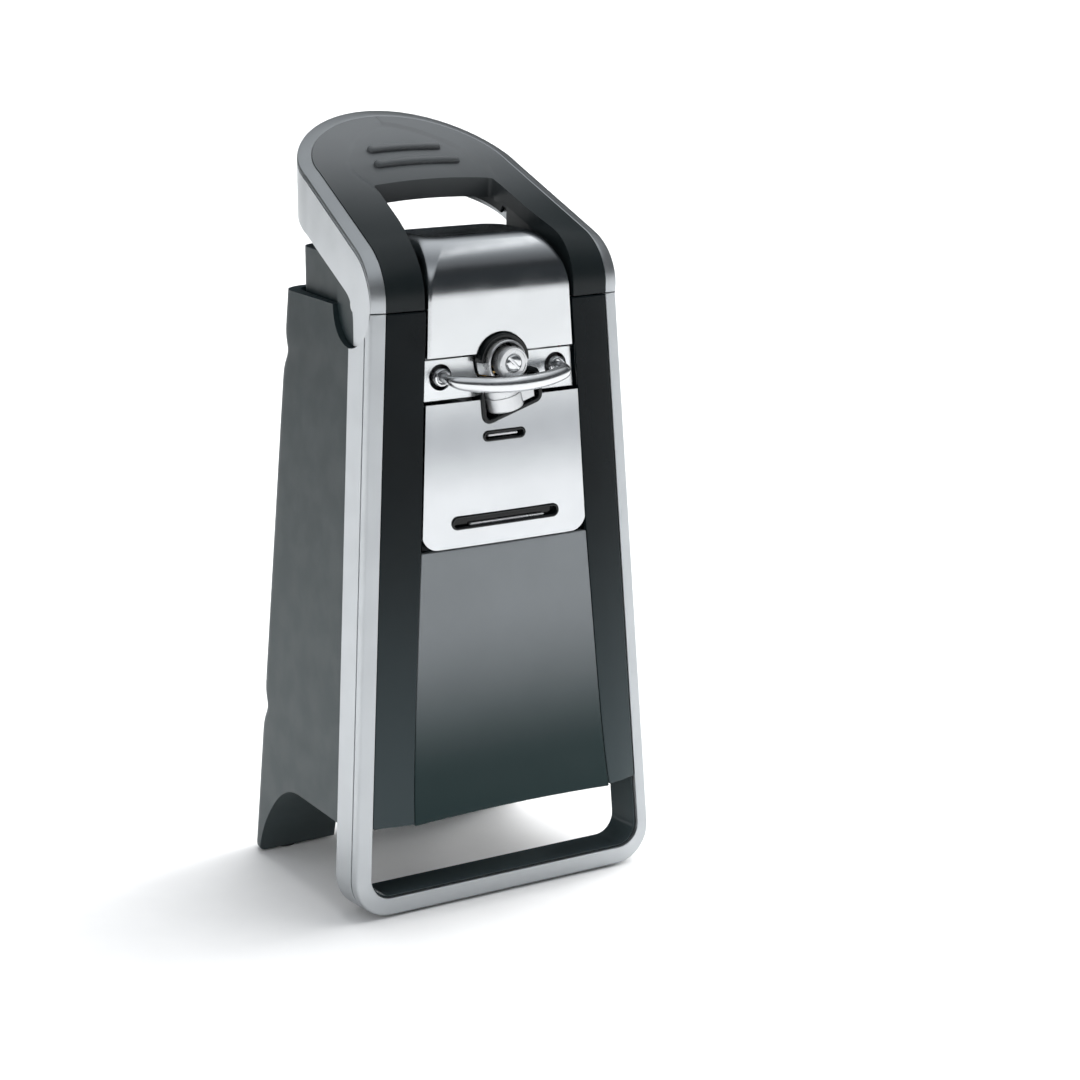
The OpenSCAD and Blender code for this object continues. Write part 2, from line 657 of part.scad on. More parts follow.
// Keeps the inner walls above the skirt's outer shell and behind the hubs
module under_wall() along_x(-60, 60) polygon([
    [24, 228], [34, 230], [52, skirt_z1 - deck_t], [90, skirt_z1 - deck_t], [90, 290], [24, 290]]);
module lever_skirt() color([0.25, 0.28, 0.30]) place() difference() {
    union() {
        intersection() {
            translate([0, 0, skirt_z0]) linear_extrude(skirt_z1 - skirt_z0) difference() {
                skirt_plan(1.5, skirt_end);
                skirt_plan(4, skirt_end - 2.5);
                translate([-70, -20]) square([140, 20 + hub_y]);
            }
            under_band_x();
        }
        intersection() {
            translate([0, 0, skirt_z1 - deck_t]) linear_extrude(deck_t) difference() {
                skirt_plan(1.5, skirt_end);
                translate([-33, -20]) square([66, 80]);
            }
            under_band_x();
        }
        intersection() {
            both() box(44, 60, hub_y, 60, 190, 240);
            plan_z(0.2);
            along_x(-60, 60) intersection() {
                translate([hub_y, hub_z]) circle(r = hub_r);
                under_band();
            }
        }
        intersection() {
            difference() {
                plan_z(rim_w);
                plan_z(rim_w + 2);
            }
            under_cover();
            box(-60, 60, 24, skirt_end - 2, 220, 300);
            under_wall();
        }
        box(36.5, 44.5, 31, 35, 205, 216);
        box(43, 46.5, 31, 35, 212, 222);
    }
    both() rod_x(40, 49.8, hub_y, hub_z, pin_r + run_gap);
    both() rod_x(30, 43.9, hub_y, hub_z, hub_r);
}

module lever_arms() color([0.64, 0.65, 0.66]) place() both() along_x(33.4, 35.4) polygon([
    [15, 203], [19, 203], [19, 214], [27, 224], [60, 231], [60, skirt_z1 - deck_t],
    [52.4, skirt_z1 - deck_t], [30, 230], [15, 221]]);

// The carriage: a plate with ears that the lever's arms push, and a block around the cutting wheel
carriage_y = 12.4;
strap_z = 6.4;
strap_y = 10.2;
module cutter_carriage() color([0.60, 0.61, 0.62]) place() difference() {
    union() {
        along_y(carriage_y, carriage_y + 2.3) difference() {
            polygon([[-30, 187], [30, 187], [30, 204], [36, 204],
                [36, 207], [-36, 207], [-36, 204], [-30, 204]]);
            translate(output_c) circle(r = 11);
            for (side = [-1, 1]) translate([side * loop_x, 196.4]) circle(r = 1.6);
        }
        along_y(0.5, carriage_y + tiny) intersection() {
            pocket_shape(-2.4);
            translate([-20, 170]) square([40, 19.8]);
        }
        cut_place() translate([-2, cut_r + 0.3, 0]) cube([4, strap_y - cut_r - 0.3, strap_z]);
    }
    cut_place() translate([0, 0, -20]) cylinder(r = cut_r + 0.35, h = 40);
}
// The cutting wheel's place, and its tilted axle with a strap back to the carriage
cut_c = [0, 1.4, 186.2];
module cut_place() translate(cut_c) rotate([0, -cut_tilt, 0]) children();
module cutter_axle() color([0.70, 0.71, 0.72]) place() cut_place() {
    translate([0, 0, -1]) cylinder(r = 2.2, h = strap_z + 2.2);
    translate([0, 0, strap_z]) cylinder(r = 4.4, h = 1.2);
    translate([-2, 0, strap_z]) cube([4, strap_y, 1.2]);
}
module cutting_wheel() color([0.82, 0.83, 0.84]) place() cut_place() difference() {
    union() {
        translate([0, 0, -3]) cylinder(r = cut_r, h = 5.6);
        translate([0, 0, 2.6]) cylinder(r = cut_r - 0.4, h = 0.4);
        translate([0, 0, 3]) cylinder(r = cut_r, h = 3);
    }
    translate([0, 0, -1.3]) cylinder(r = 2.2 + run_gap, h = 20);
}

// Half of the guide loop: points and radii from the leg to the middle of the arch
loop_points = [[loop_x, 2, 196.4, 1.6], [22.6, -4, 195.4, 2.2],
    [14, -7.2, 194, 2.7], [0, -8.6, 193.3, 2.9]];
module guide_loop() color([0.85, 0.86, 0.87]) place() both() {
    rod_y(2, carriage_y + 2.3, loop_x, 196.4, 1.6);
    for (i = [0:2]) hull() for (p = [loop_points[i], loop_points[i + 1]])
        translate([p[0], p[1], p[2]]) sphere(r = p[3], $fn = 24);
}

front_trim_frame();
front_bezel();
front_lower_panel();
face_plate();
upper_slot_trim();
lower_slot_trim();
slot_bars();
mechanism_strip();
cutter_pocket();
drive_cap();
drive_cone();
motor_hood();
rear_housing();
rear_cover();
base_plate();
housing_screws();
rubber_feet();
cord_grommet();
mechanism_plate();
gearbox_plate();
spacer_posts();
drive_bushing();
gear_studs();
motor_stator();
motor_coil();
front_bracket();
rear_bracket();
power_switch();
terminal_block();
pivot_brackets();
pivot_pins();
lever_spring();
lever_band();
lever_cover();
lever_skirt();
lever_arms();
switch_plunger();
cutter_carriage();
cutter_axle();
guide_loop();
cutting_wheel();
output_gear();
drive_shaft();
drive_wheel();
drive_screw();
second_gear();
first_gear();
motor_rotor();
motor_shaft();
cooling_fan();
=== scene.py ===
import json
import math

import bmesh
import bpy
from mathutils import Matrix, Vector


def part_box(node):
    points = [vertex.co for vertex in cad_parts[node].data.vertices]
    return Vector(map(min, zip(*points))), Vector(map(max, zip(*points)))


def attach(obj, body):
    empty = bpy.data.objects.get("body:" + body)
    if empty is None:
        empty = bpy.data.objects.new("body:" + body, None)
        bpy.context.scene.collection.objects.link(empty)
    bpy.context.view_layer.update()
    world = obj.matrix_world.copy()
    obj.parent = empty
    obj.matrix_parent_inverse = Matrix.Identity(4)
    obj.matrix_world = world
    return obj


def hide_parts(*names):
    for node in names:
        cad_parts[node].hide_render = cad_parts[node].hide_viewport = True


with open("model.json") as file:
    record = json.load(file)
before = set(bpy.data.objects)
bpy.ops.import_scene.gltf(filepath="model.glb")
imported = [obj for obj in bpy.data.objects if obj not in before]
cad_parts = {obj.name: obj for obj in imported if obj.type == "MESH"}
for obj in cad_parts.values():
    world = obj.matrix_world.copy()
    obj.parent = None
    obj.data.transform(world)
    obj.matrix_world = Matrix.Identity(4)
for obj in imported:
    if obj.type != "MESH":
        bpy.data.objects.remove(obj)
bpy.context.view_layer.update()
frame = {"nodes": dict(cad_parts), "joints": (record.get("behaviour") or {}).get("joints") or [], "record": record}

# The visual model of an electric can opener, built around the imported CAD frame.
# Shapes are written in millimetres from the trim's bottom front edge: x to the right,
# y to the back, z up. at() and lean_at() turn them into metres in the frame's own space.

MM = 0.001
TRIM_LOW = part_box("front_trim_frame")[0]
JOINTS = {j["name"]: j for j in frame["joints"]}


def at(x, y, z):
    return Vector((x * MM, TRIM_LOW.y + y * MM, TRIM_LOW.z + z * MM))


def to_mm(point):
    """A point of the frame, in the script's millimetres."""
    return Vector((point[0] / MM, (point[1] - TRIM_LOW.y) / MM, (point[2] - TRIM_LOW.z) / MM))


# Driving sizes
LEAN = math.radians(1.58)
BASE_HALF = 65.0
SIDE_TAPER = 0.0606
SIDE_ANGLE = math.atan(SIDE_TAPER)
JOINT_Z = 221.0
TRIM_DEPTH = 16.0
RIM = 5.5
GAP = 0.3
HUB = to_mm(JOINTS["lever_tilt"]["pos_m"])
HUB_R = 14.5
HUB_X = 43.9
HUB_GAP = 0.55
DRIVE = to_mm(JOINTS["drive_spin"]["pos_m"])
RISE = math.radians(24.2)
PLATE_Z0 = 134.4
PLATE_Z1 = 187.2
STRIP_Z0 = 188.1
STRIP_Z1 = 203.4
PANEL_Z0 = 34.3
LOOP_X = 24.3
LOOP_Z = 196.4

# Half widths of tools that reach past both sides of the body
SIDE = 80
WIDE = 70


def lean_at(x, d, h):
    """A point at depth d behind the leaning front plane and height h along it."""
    return at(x, h * math.sin(LEAN) + d * math.cos(LEAN), h * math.cos(LEAN) - d * math.sin(LEAN))


def front_y(z):
    return z * math.tan(LEAN)


def half_width(z):
    return BASE_HALF - SIDE_TAPER * z


def smooth_step(t):
    t = min(1.0, max(0.0, t))
    return t * t * (3 - 2 * t)


def arc(cx, cy, r, a0, a1, n=8):
    """Points of an arc, with its angles in degrees."""
    angles = [math.radians(a0 + (a1 - a0) * i / n) for i in range(n + 1)]
    return [(cx + r * math.cos(a), cy + r * math.sin(a)) for a in angles]


# ---------------------------------------------------------------- meshes

def mesh_object(name, verts, faces):
    mesh = bpy.data.meshes.new(name)
    mesh.from_pydata([tuple(v) for v in verts], [], faces)
    bm = bmesh.new()
    bm.from_mesh(mesh)
    bmesh.ops.remove_doubles(bm, verts=bm.verts, dist=2e-6)
    bmesh.ops.dissolve_degenerate(bm, edges=bm.edges, dist=1e-6)
    bmesh.ops.recalc_face_normals(bm, faces=bm.faces)
    bm.to_mesh(mesh)
    bm.free()
    obj = bpy.data.objects.new(name, mesh)
    bpy.context.scene.collection.objects.link(obj)
    return obj


def loft(name, rows, closed_rows=False):
    """A closed skin over rows of points. Each row is a ring.

    The first and the last are capped, or joined to each other if closed_rows is set.
    """
    n = len(rows[0])
    verts = [p for row in rows for p in row]
    faces = []
    count = len(rows) if closed_rows else len(rows) - 1
    for i in range(count):
        a, b = i * n, ((i + 1) % len(rows)) * n
        faces += [(a + j, a + (j + 1) % n, b + (j + 1) % n, b + j) for j in range(n)]
    if not closed_rows:
        faces.append(tuple(range(n)))
        faces.append(tuple((len(rows) - 1) * n + j for j in reversed(range(n))))
    return mesh_object(name, verts, faces)


def slab(name, front, back):
    """A closed solid between two grids of the same size."""
    rows, cols = len(front), len(front[0])
    verts = [p for row in front for p in row] + [p for row in back for p in row]
    half = rows * cols
    faces = []
    for i in range(rows - 1):
        for j in range(cols - 1):
            a = i * cols + j
            faces.append((a, a + 1, a + cols + 1, a + cols))
            faces.append((half + a, half + a + cols, half + a + cols + 1, half + a + 1))
    edge = [(0, j) for j in range(cols)] + [(i, cols - 1) for i in range(1, rows)]
    edge += [(rows - 1, j) for j in reversed(range(cols - 1))]
    edge += [(i, 0) for i in reversed(range(1, rows - 1))]
    for k, (i, j) in enumerate(edge):
        i2, j2 = edge[(k + 1) % len(edge)]
        a, b = i * cols + j, i2 * cols + j2
        faces.append((a, half + a, half + b, b))
    return mesh_object(name, verts, faces)


def prism(outline, place, t0, t1):
    """An outline of (a, b) points, extruded through place(a, b, t) from t0 to t1."""
    return loft("prism", [[place(a, b, t) for a, b in outline] for t in (t0, t1)])


def along_x(outline, x0, x1):
    """A prism across, from an outline of (y, z) points."""
    return prism(outline, lambda y, z, x: at(x, y, z), x0, x1)


def along_y(outline, y0, y1):
    """A prism from front to back, from an outline of (x, z) points."""
    return prism(outline, lambda x, z, y: at(x, y, z), y0, y1)


def along_z(outline, z0, z1):
    """A prism upwards, from an outline of (x, y) points."""
    return prism(outline, at, z0, z1)


def through_front(outline, d0=-9, d1=9):
    """A prism square to the leaning front, from an outline of (x, height) points."""
    return prism(outline, lambda x, h, d: lean_at(x, d, h), d0, d1)


def front_slab(name, rows, cols, spot):
    """A slab on the leaning front; spot(i, j) gives x, height, front depth and back depth."""
    spots = [[spot(i, j) for j in range(cols + 1)] for i in range(rows + 1)]
    front = [[lean_at(x, d0, h) for x, h, d0, d1 in row] for row in spots]
    back = [[lean_at(x, d1, h) for x, h, d0, d1 in row] for row in spots]
    return slab(name, front, back)


def lathe(name, centre, axis, profile, sides=64, hollow=False):
    """A profile of (along the axis, radius) in millimetres, turned about an axis through centre.

    A hollow one joins the profile's end to its start, like a washer.
    """
    axis = Vector(axis).normalized()
    side = axis.orthogonal().normalized()
    other = axis.cross(side)
    ring = [math.tau * k / sides for k in range(sides)]
    rows = []
    for along, radius in profile:
        r = max(radius, 1e-4) * MM
        rows.append([centre + axis * along * MM + side * r * math.cos(a) + other * r * math.sin(a)
                     for a in ring])
    return loft(name, rows, closed_rows=hollow)


def tube(name, points, radii, sides=24):
    """A round bar along points, with a radius at each, in millimetres."""
    rows = []
    side = None
    for i, p in enumerate(points):
        ahead = points[min(i + 1, len(points) - 1)] - points[max(i - 1, 0)]
        ahead.normalize()
        side = (side or ahead.orthogonal()) - ahead * (side or ahead.orthogonal()).dot(ahead)
        side.normalize()
        other = ahead.cross(side)
        ring = [math.tau * k / sides for k in range(sides)]
        rows.append([p + (side * math.cos(a) + other * math.sin(a)) * radii[i] * MM for a in ring])
    return loft(name, rows)


def between(a, b, c, d, t):
    """The value at share t of the way from b to c, with a before them and d after."""
    return 0.5 * (2 * b + (c - a) * t + (2 * a - 5 * b + 4 * c - d) * t * t
                  + (3 * b - a - 3 * c + d) * t ** 3)


def spline(points, steps):
    """A smooth curve through points given as tuples of numbers."""
    out = []
    last = len(points) - 1
    for i in range(last):
        p0, p1, p2, p3 = (points[min(max(i + k, 0), last)] for k in (-1, 0, 1, 2))
        for s in range(steps):
            t = s / steps
            out.append(tuple(between(*values, t) for values in zip(p0, p1, p2, p3)))
    return out + [tuple(points[-1])]


def applied(obj):
    """Replaces the object's mesh with the result of its modifiers."""
    graph = bpy.context.evaluated_depsgraph_get()
    graph.update()
    mesh = bpy.data.meshes.new_from_object(obj.evaluated_get(graph), preserve_all_data_layers=True,
                                           depsgraph=graph)
    obj.modifiers.clear()
    old = obj.data
    obj.data = mesh
    bpy.data.meshes.remove(old)
    return obj


def combine(obj, tools, operation):
    """Cuts, keeps or adds each tool in turn, and removes it."""
    for tool in tools:
        m = obj.modifiers.new("combine", "BOOLEAN")
        m.operation = operation
        m.solver = "EXACT"
        m.object = tool
        applied(obj)
        bpy.data.objects.remove(tool)
    return obj


def cut(obj, *tools):
    return combine(obj, tools, "DIFFERENCE")


def keep(obj, *tools):
    return combine(obj, tools, "INTERSECT")


def add(obj, *tools):
    return combine(obj, tools, "UNION")


def soften(obj, width, segments=2, angle=32):
    """Rounds the edges sharper than angle, by width in millimetres."""
    m = obj.modifiers.new("round", "BEVEL")
    m.width = width * MM
    m.segments = segments
    m.limit_method = "ANGLE"
    m.angle_limit = math.radians(angle)
    m.use_clamp_overlap = True
    m.miter_outer = "MITER_ARC"
    return applied(obj)


def shade(obj, angle, weighted=True):
    """Smooth shading, with the edges sharper than angle kept sharp."""
    obj.data.shade_smooth()
    obj.data.set_sharp_from_angle(angle=math.radians(angle))
    if weighted:
        m = obj.modifiers.new("normals", "WEIGHTED_NORMAL")
        m.keep_sharp = True
        m.weight = 60
    return obj


def hub_cylinder(x0, x1, radius):
    """A cylinder across the lever's pivot axis."""
    start = at(x0, HUB.y, HUB.z)
    return lathe("tool", start, (1, 0, 0), [(0, radius), (x1 - x0, radius)], 96)


def hub_cut(obj):
    """Clears the round space that the lever's two hubs turn in."""
    radius = HUB_R + HUB_GAP
    return cut(obj, hub_cylinder(HUB_X, SIDE, radius), hub_cylinder(-SIDE, -HUB_X, radius))


def block(x0, x1, y0, y1, z0, z1):
    return along_z([(x0, y0), (x1, y0), (x1, y1), (x0, y1)], z0, z1)


# ---------------------------------------------------------------- materials

def node(tree, kind, **values):
    n = tree.nodes.new(kind)
    for key, value in values.items():
        if hasattr(n, key):
            setattr(n, key, value)
        else:
            n.inputs[key.replace("_", " ")].default_value = value
    return n


def noise(tree, scale, detail=2.0, stretch=(1, 1, 1)):
    """A noise over the object's own space; scale is in repeats per metre."""
    place = node(tree, "ShaderNodeTexCoord")
    turn = node(tree, "ShaderNodeMapping")
    turn.inputs["Scale"].default_value = stretch
    out = node(tree, "ShaderNodeTexNoise", Scale=scale, Detail=detail)
    tree.links.new(place.outputs["Object"], turn.inputs["Vector"])
    tree.links.new(turn.outputs["Vector"], out.inputs["Vector"])
    return out.outputs["Fac"]


def remap(tree, source, low, high, from_low=0.3, from_high=0.7):
    """Eases a value from one range to another."""
    n = node(tree, "ShaderNodeMapRange")
    n.inputs["From Min"].default_value = from_low
    n.inputs["From Max"].default_value = from_high
    n.inputs["To Min"].default_value = low
    n.inputs["To Max"].default_value = high
    n.interpolation_type = "SMOOTHSTEP"
    tree.links.new(source, n.inputs["Value"])
    return n.outputs["Result"]


def mix(tree, factor, first, second):
    """Blends two colours or sockets by the socket factor."""
    n = node(tree, "ShaderNodeMix")
    n.data_type = "RGBA"
    colours = [s for s in n.inputs if s.type == "RGBA"]
    for socket, value in zip(colours, (first, second)):
        if isinstance(value, tuple):
            socket.default_value = (*value, 1)
        else:
            tree.links.new(value, socket)
    tree.links.new(factor, n.inputs["Factor"])
    return next(s for s in n.outputs if s.type == "RGBA")


def height_of(tree):
    """The height in the object's own space, in metres."""
    place = node(tree, "ShaderNodeTexCoord")
    split = node(tree, "ShaderNodeSeparateXYZ")
    tree.links.new(place.outputs["Object"], split.inputs["Vector"])
    return split.outputs["Z"]


def material(name, colour, rough, metal=0.0, spread=0.08, uneven=0.06, grain=0.0, scale=3000,
             specular=0.5, stretch=(1, 1, 1), low=None, painted_reflection_band=None):
    """A finish: a base colour with slow variation, uneven roughness and a fine grain.

    low is (colour, z0, z1), painted light and shade: a colour that fades out between two heights;
    dull is (colour, z, reach), a painted reflection: a darker soft band around a height.
    """
    m = bpy.data.materials.new(name)
    m.use_nodes = True
    tree = m.node_tree
    shader = tree.nodes["Principled BSDF"]
    shader.inputs["Metallic"].default_value = metal
    shader.inputs["Specular IOR Level"].default_value = specular
    dark = tuple(c * (1 - spread) for c in colour)
    light = tuple(min(1, c * (1 + spread)) for c in colour)
    tone = mix(tree, remap(tree, noise(tree, 38, 3), 0, 1), dark, light)
    # Painted light and shade: the colour low below z0, fading into the finish's own tone by z1.
    if low:
        share = remap(tree, height_of(tree), 0, 1, at(0, 0, low[1]).z, at(0, 0, low[2]).z)
        tone = mix(tree, share, low[0], tone)
    # Painted reflection: a darker soft band of the given colour around a height, fading out over its reach.
    if painted_reflection_band:
        away = node(tree, "ShaderNodeMath", operation="SUBTRACT")
        away.inputs[1].default_value = at(0, 0, painted_reflection_band[1]).z
        size = node(tree, "ShaderNodeMath", operation="ABSOLUTE")
        tree.links.new(height_of(tree), away.inputs[0])
        tree.links.new(away.outputs[0], size.inputs[0])
        tone = mix(tree, remap(tree, size.outputs[0], 0, 1, 0, painted_reflection_band[2] * MM), painted_reflection_band[0], tone)
    tree.links.new(tone, shader.inputs["Base Color"])
    patches = remap(tree, noise(tree, 90, 5), rough - uneven, rough + uneven)
    tree.links.new(patches, shader.inputs["Roughness"])
    if grain:
        bump = node(tree, "ShaderNodeBump", Strength=grain, Distance=0.0002)
        tree.links.new(noise(tree, scale, 2, stretch), bump.inputs["Height"])
        tree.links.new(bump.outputs["Normal"], shader.inputs["Normal"])
    return m


FINISHES = {
    # Painted and polished metal
    # Painted shade: the lever's silver band above height 262 is darker than the trim below 212, fading between.
    "silver_trim": dict(colour=(0.35, 0.365, 0.375), rough=0.34, metal=0.9, spread=0.02, uneven=0.03,
                        grain=0.12, scale=5200, low=((0.47, 0.49, 0.505), 212, 262)),
    "satin_steel": dict(colour=(0.68, 0.70, 0.71), rough=0.26, metal=1, spread=0.015, uneven=0.025,
                        grain=0.03, scale=5200),
    # Painted reflection: a darker soft band across the face plate around height 175.
    "plate_steel": dict(colour=(0.62, 0.635, 0.65), rough=0.25, metal=1, spread=0.015, uneven=0.02,
                        grain=0.03, scale=5200, painted_reflection_band=((0.37, 0.385, 0.40), 175, 24)),
    # Painted reflection: a darker soft band across the hood around height 237.5.
    "hood_steel": dict(colour=(0.60, 0.615, 0.625), rough=0.18, metal=1, spread=0.01, uneven=0.02,
                       grain=0.02, scale=5200, painted_reflection_band=((0.27, 0.28, 0.29), 237.5, 6)),
    "bright_steel": dict(colour=(0.60, 0.61, 0.62), rough=0.3, metal=0.8, spread=0.04, uneven=0.05,
                         grain=0.05, scale=4200),
    "chrome": dict(colour=(0.66, 0.67, 0.68), rough=0.2, metal=0.95, spread=0.02, uneven=0.02,
                   grain=0.004, scale=1200),
    # Plastics and rubber
    # Painted light: the charcoal parts are lighter towards the bottom, fading to the darker base colour by height
    # 235.
    "charcoal_plastic": dict(colour=(0.010, 0.018, 0.020), rough=0.5, spread=0.05, uneven=0.03,
                             grain=0.12, scale=4200, specular=0.35, low=((0.042, 0.056, 0.059), 0, 235)),
    # Painted shade: the lower panel is darker towards its bottom, below height 114.
    "front_panel": dict(colour=(0.195, 0.21, 0.22), rough=0.36, spread=0.03, uneven=0.03,
                        grain=0.06, scale=5200, specular=0.2, low=((0.010, 0.024, 0.025), 50, 114)),
    # Painted shade and sheen: the lever cover is darker below height 246, fading to its lighter tone above 281
    # that stands for the sheen on its top.
    "cover_black": dict(colour=(0.105, 0.112, 0.117), rough=0.34, spread=0.04, uneven=0.03,
                        grain=0.05, scale=4800, specular=0.2, low=((0.008, 0.011, 0.012), 246, 281)),
    # Painted light: the glossy black parts are lighter towards the bottom, fading to the base colour by height
    # 170.
    "black_gloss": dict(colour=(0.002, 0.004, 0.005), rough=0.2, spread=0.15, uneven=0.04,
                        grain=0.02, scale=1600, specular=0.12, low=((0.040, 0.054, 0.058), 25, 170)),
    "black_trim": dict(colour=(0.003, 0.004, 0.0045), rough=0.16, spread=0.15, uneven=0.05,
                       grain=0.02, scale=1600, specular=0.3),
    "black_plastic": dict(colour=(0.02, 0.021, 0.023), rough=0.5, spread=0.12, grain=0.14, scale=3200,
                          specular=0.4),
    "red_plastic": dict(colour=(0.42, 0.03, 0.025), rough=0.34, spread=0.06, uneven=0.05, grain=0.05,
                        scale=2600),
    "nylon": dict(colour=(0.72, 0.69, 0.60), rough=0.5, spread=0.05, grain=0.06, scale=2200),
    "rubber": dict(colour=(0.014, 0.014, 0.014), rough=0.75, spread=0.15, uneven=0.08, grain=0.2,
                   scale=2600, specular=0.3),
    # Screws and inner parts
    "plain_steel": dict(colour=(0.56, 0.57, 0.58), rough=0.34, metal=1, uneven=0.08, grain=0.06,
                        scale=2600),
    "bronze": dict(colour=(0.58, 0.38, 0.16), rough=0.36, metal=1, spread=0.1, uneven=0.08, grain=0.1,
                   scale=3800),
    "gear_metal": dict(colour=(0.60, 0.48, 0.28), rough=0.3, metal=1, uneven=0.08, grain=0.08, scale=2600),
    "laminations": dict(colour=(0.20, 0.20, 0.21), rough=0.42, metal=0.8, spread=0.12, uneven=0.1,
                        grain=0.6, scale=1500, stretch=(0.02, 1, 0.02)),
    "copper_winding": dict(colour=(0.45, 0.16, 0.05), rough=0.32, metal=0.85, spread=0.14, uneven=0.08,
                           grain=0.8, scale=1700, stretch=(0.05, 1, 1)),
}
MATERIALS = {name: material(name, **values) for name, values in FINISHES.items()}


def finish(obj, name, body, slot, *nodes, finish_as=None):
    """Names a piece, gives it its finish, ties it to its body, and hides the nodes it stands for."""
    obj.name = name
    obj.data.materials.clear()
    obj.data.materials.append(MATERIALS[finish_as or slot])
    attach(obj, body)
    if nodes:
        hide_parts(*nodes)
    return obj


# ---------------------------------------------------------------- front frame and panels

def u_path(inset, bar, radius, top):
    """The trim's outline from its top right, down, around the bottom and up to its top left."""
    corner, side, floor = 12, 14, 10
    centre_z = bar + radius
    centre_x = BASE_HALF - SIDE_TAPER * centre_z - (inset + radius) / math.cos(SIDE_ANGLE)
    end = centre_z + radius * math.sin(SIDE_ANGLE)
    right = [(BASE_HALF - SIDE_TAPER * h - inset / math.cos(SIDE_ANGLE), h)
             for h in (top + (end - top) * i / side for i in range(side))]
    right += arc(centre_x, centre_z, radius, math.degrees(SIDE_ANGLE), -90, corner)
    right += [(centre_x * (1 - 2 * i / floor), bar) for i in range(1, floor // 2 + 1)]
    left = [(-x, h) for x, h in reversed(right[:-1])]
    return right + left


def u_sweep(name, outer, inner, section):
    """Sweeps a section of (share of the way inwards, depth) between two outlines."""
    rows = []
    for (x0, h0), (x1, h1) in zip(outer, inner):
        ring = []
        for share, depth in section:
            p = lean_at(x0 + (x1 - x0) * share, depth, h0 + (h1 - h0) * share)
            p.z = max(p.z, TRIM_LOW.z)
            ring.append(p)
        rows.append(ring)
    return loft(name, rows)


def band_inner(h):
    """Half width of the black bands' inner edge, against the panel, the face plate and the hood."""
    if h < PLATE_Z0:
        return 42.2 - 0.0725 * (h - 40)
    if h < PLATE_Z1:
        return 35.35 - 0.053 * (h - PLATE_Z0)
    return 32.55 - 0.060 * (h - PLATE_Z1)


def band_proud(h):
    """How far the bands' inner edge stands proud of the front plane."""
    return 2.5 + 0.007 * max(0, JOINT_Z - h) + 1.65 * math.exp(-(h - 40) / 16)


def trim_frame():
    top = JOINT_Z - GAP
    outer, inner = u_path(0, 0, 14, top), u_path(RIM, 7.2, 8.5, top)
    groove = [(0, 4.5), (0.13, 4.35), (0.13, 3.85), (0, 3.7)]
    section = [(0.03, TRIM_DEPTH - 0.1), (0, TRIM_DEPTH - 0.5)] + groove
    section += [(0, 1.5), (0.02, 0.75), (0.06, 0.25), (0.13, -0.05), (0.22, -0.2)]
    section += [(0.90, -1.22), (0.96, -1.2), (0.99, -1.0), (1, -0.6)]
    section += [(1, TRIM_DEPTH - 0.5), (0.97, TRIM_DEPTH - 0.1)]
    obj = hub_cut(u_sweep("trim", outer, inner, section))
    return finish(shade(obj, 35), "trim_frame", "body", "silver_trim", "front_trim_frame")


def side_band(side):
    """One black band between the trim and the front's middle."""
    rows, cols = 40, 10

    def spot(i, j):
        t = j / cols
        h0 = PANEL_Z0 + 0.2 + 0.5 * t
        h = h0 + (JOINT_Z - GAP - h0) * i / rows
        outer_x = half_width(h) - (RIM + 0.12) / math.cos(SIDE_ANGLE)
        x = outer_x + (band_inner(h) + 0.06 - outer_x) * t
        proud = 1.05 + (band_proud(h) - 1.05) * t + 0.35 * math.sin(math.pi * t)
        return side * x, h, -proud, 2.0

    return soften(front_slab("band", rows, cols, spot), 0.45, 3)


def bezel():
    """The loop's lining, the two side bands, and the sheet behind the face plate and the strip."""
    inner_line = u_path(RIM + 0.1, 7.3, 8.4, PANEL_Z0 + 6)
    lining = u_path(RIM + 0.6, 7.8, 7.9, PANEL_Z0 + 6)
    section = [(0, 15.4), (0, 0.4), (0.5, 0.15), (1, 0.4), (1, 15.4)]
    obj = u_sweep("bezel", inner_line, lining, section)
    for side in (1, -1):
        obj = add(obj, side_band(side))
    half = [(33.4, 131), (33.1, 201), (30.9, 201), (31.2, 186), (20, 186), (20, 177.6)]
    add(obj, through_front(half + [(-x, h) for x, h in reversed(half)], 0, 3))
    hub_cut(obj)
    return finish(shade(obj, 38), "black_bezel", "body", "black_gloss", "front_bezel")


def panel_depth(x, h):
    """The lower panel's gentle bulge between the seams."""
    edge = band_inner(h)
    return -(band_proud(h) - 0.15 + 1.5 * (1 - (x / edge) ** 2) * smooth_step((PLATE_Z0 + 6 - h) / 60))


def lower_panel():
    rows, cols = 46, 36

    def spot(i, j):
        t = 2 * j / cols - 1
        h0 = PANEL_Z0 + 1.5 * (1 - t * t)
        h = h0 + (PLATE_Z0 - 0.6 - h0) * i / rows
        x = (band_inner(h) - 0.16) * t
        return x, h, panel_depth(x, h), 1.2

    obj = soften(front_slab("panel", rows, cols, spot), 0.5, 3)
    return finish(shade(obj, 38), "lower_panel", "body", "charcoal_plastic", "front_lower_panel",
                  finish_as="front_panel")


def stadium(z, length, height, n=12):
    """A slot's outline: a bar with round ends."""
    r = height / 2
    right = arc(length / 2 - r, z, r, -90, 90, n)
    left = arc(r - length / 2, z, r, 90, 270, n)
    return right + left


def plate_depth(x):
    """The face plate's slight crown across its width."""
    return -(3.0 + 0.55 * (1 - (x / 35) ** 2))


# Slots of the face plate: height, length, thickness
UPPER_SLOT = (173.8, 18.0, 4.0)
LOWER_SLOT = (143.4, 45.6, 5.0)


POCKET_RIM = 1.9


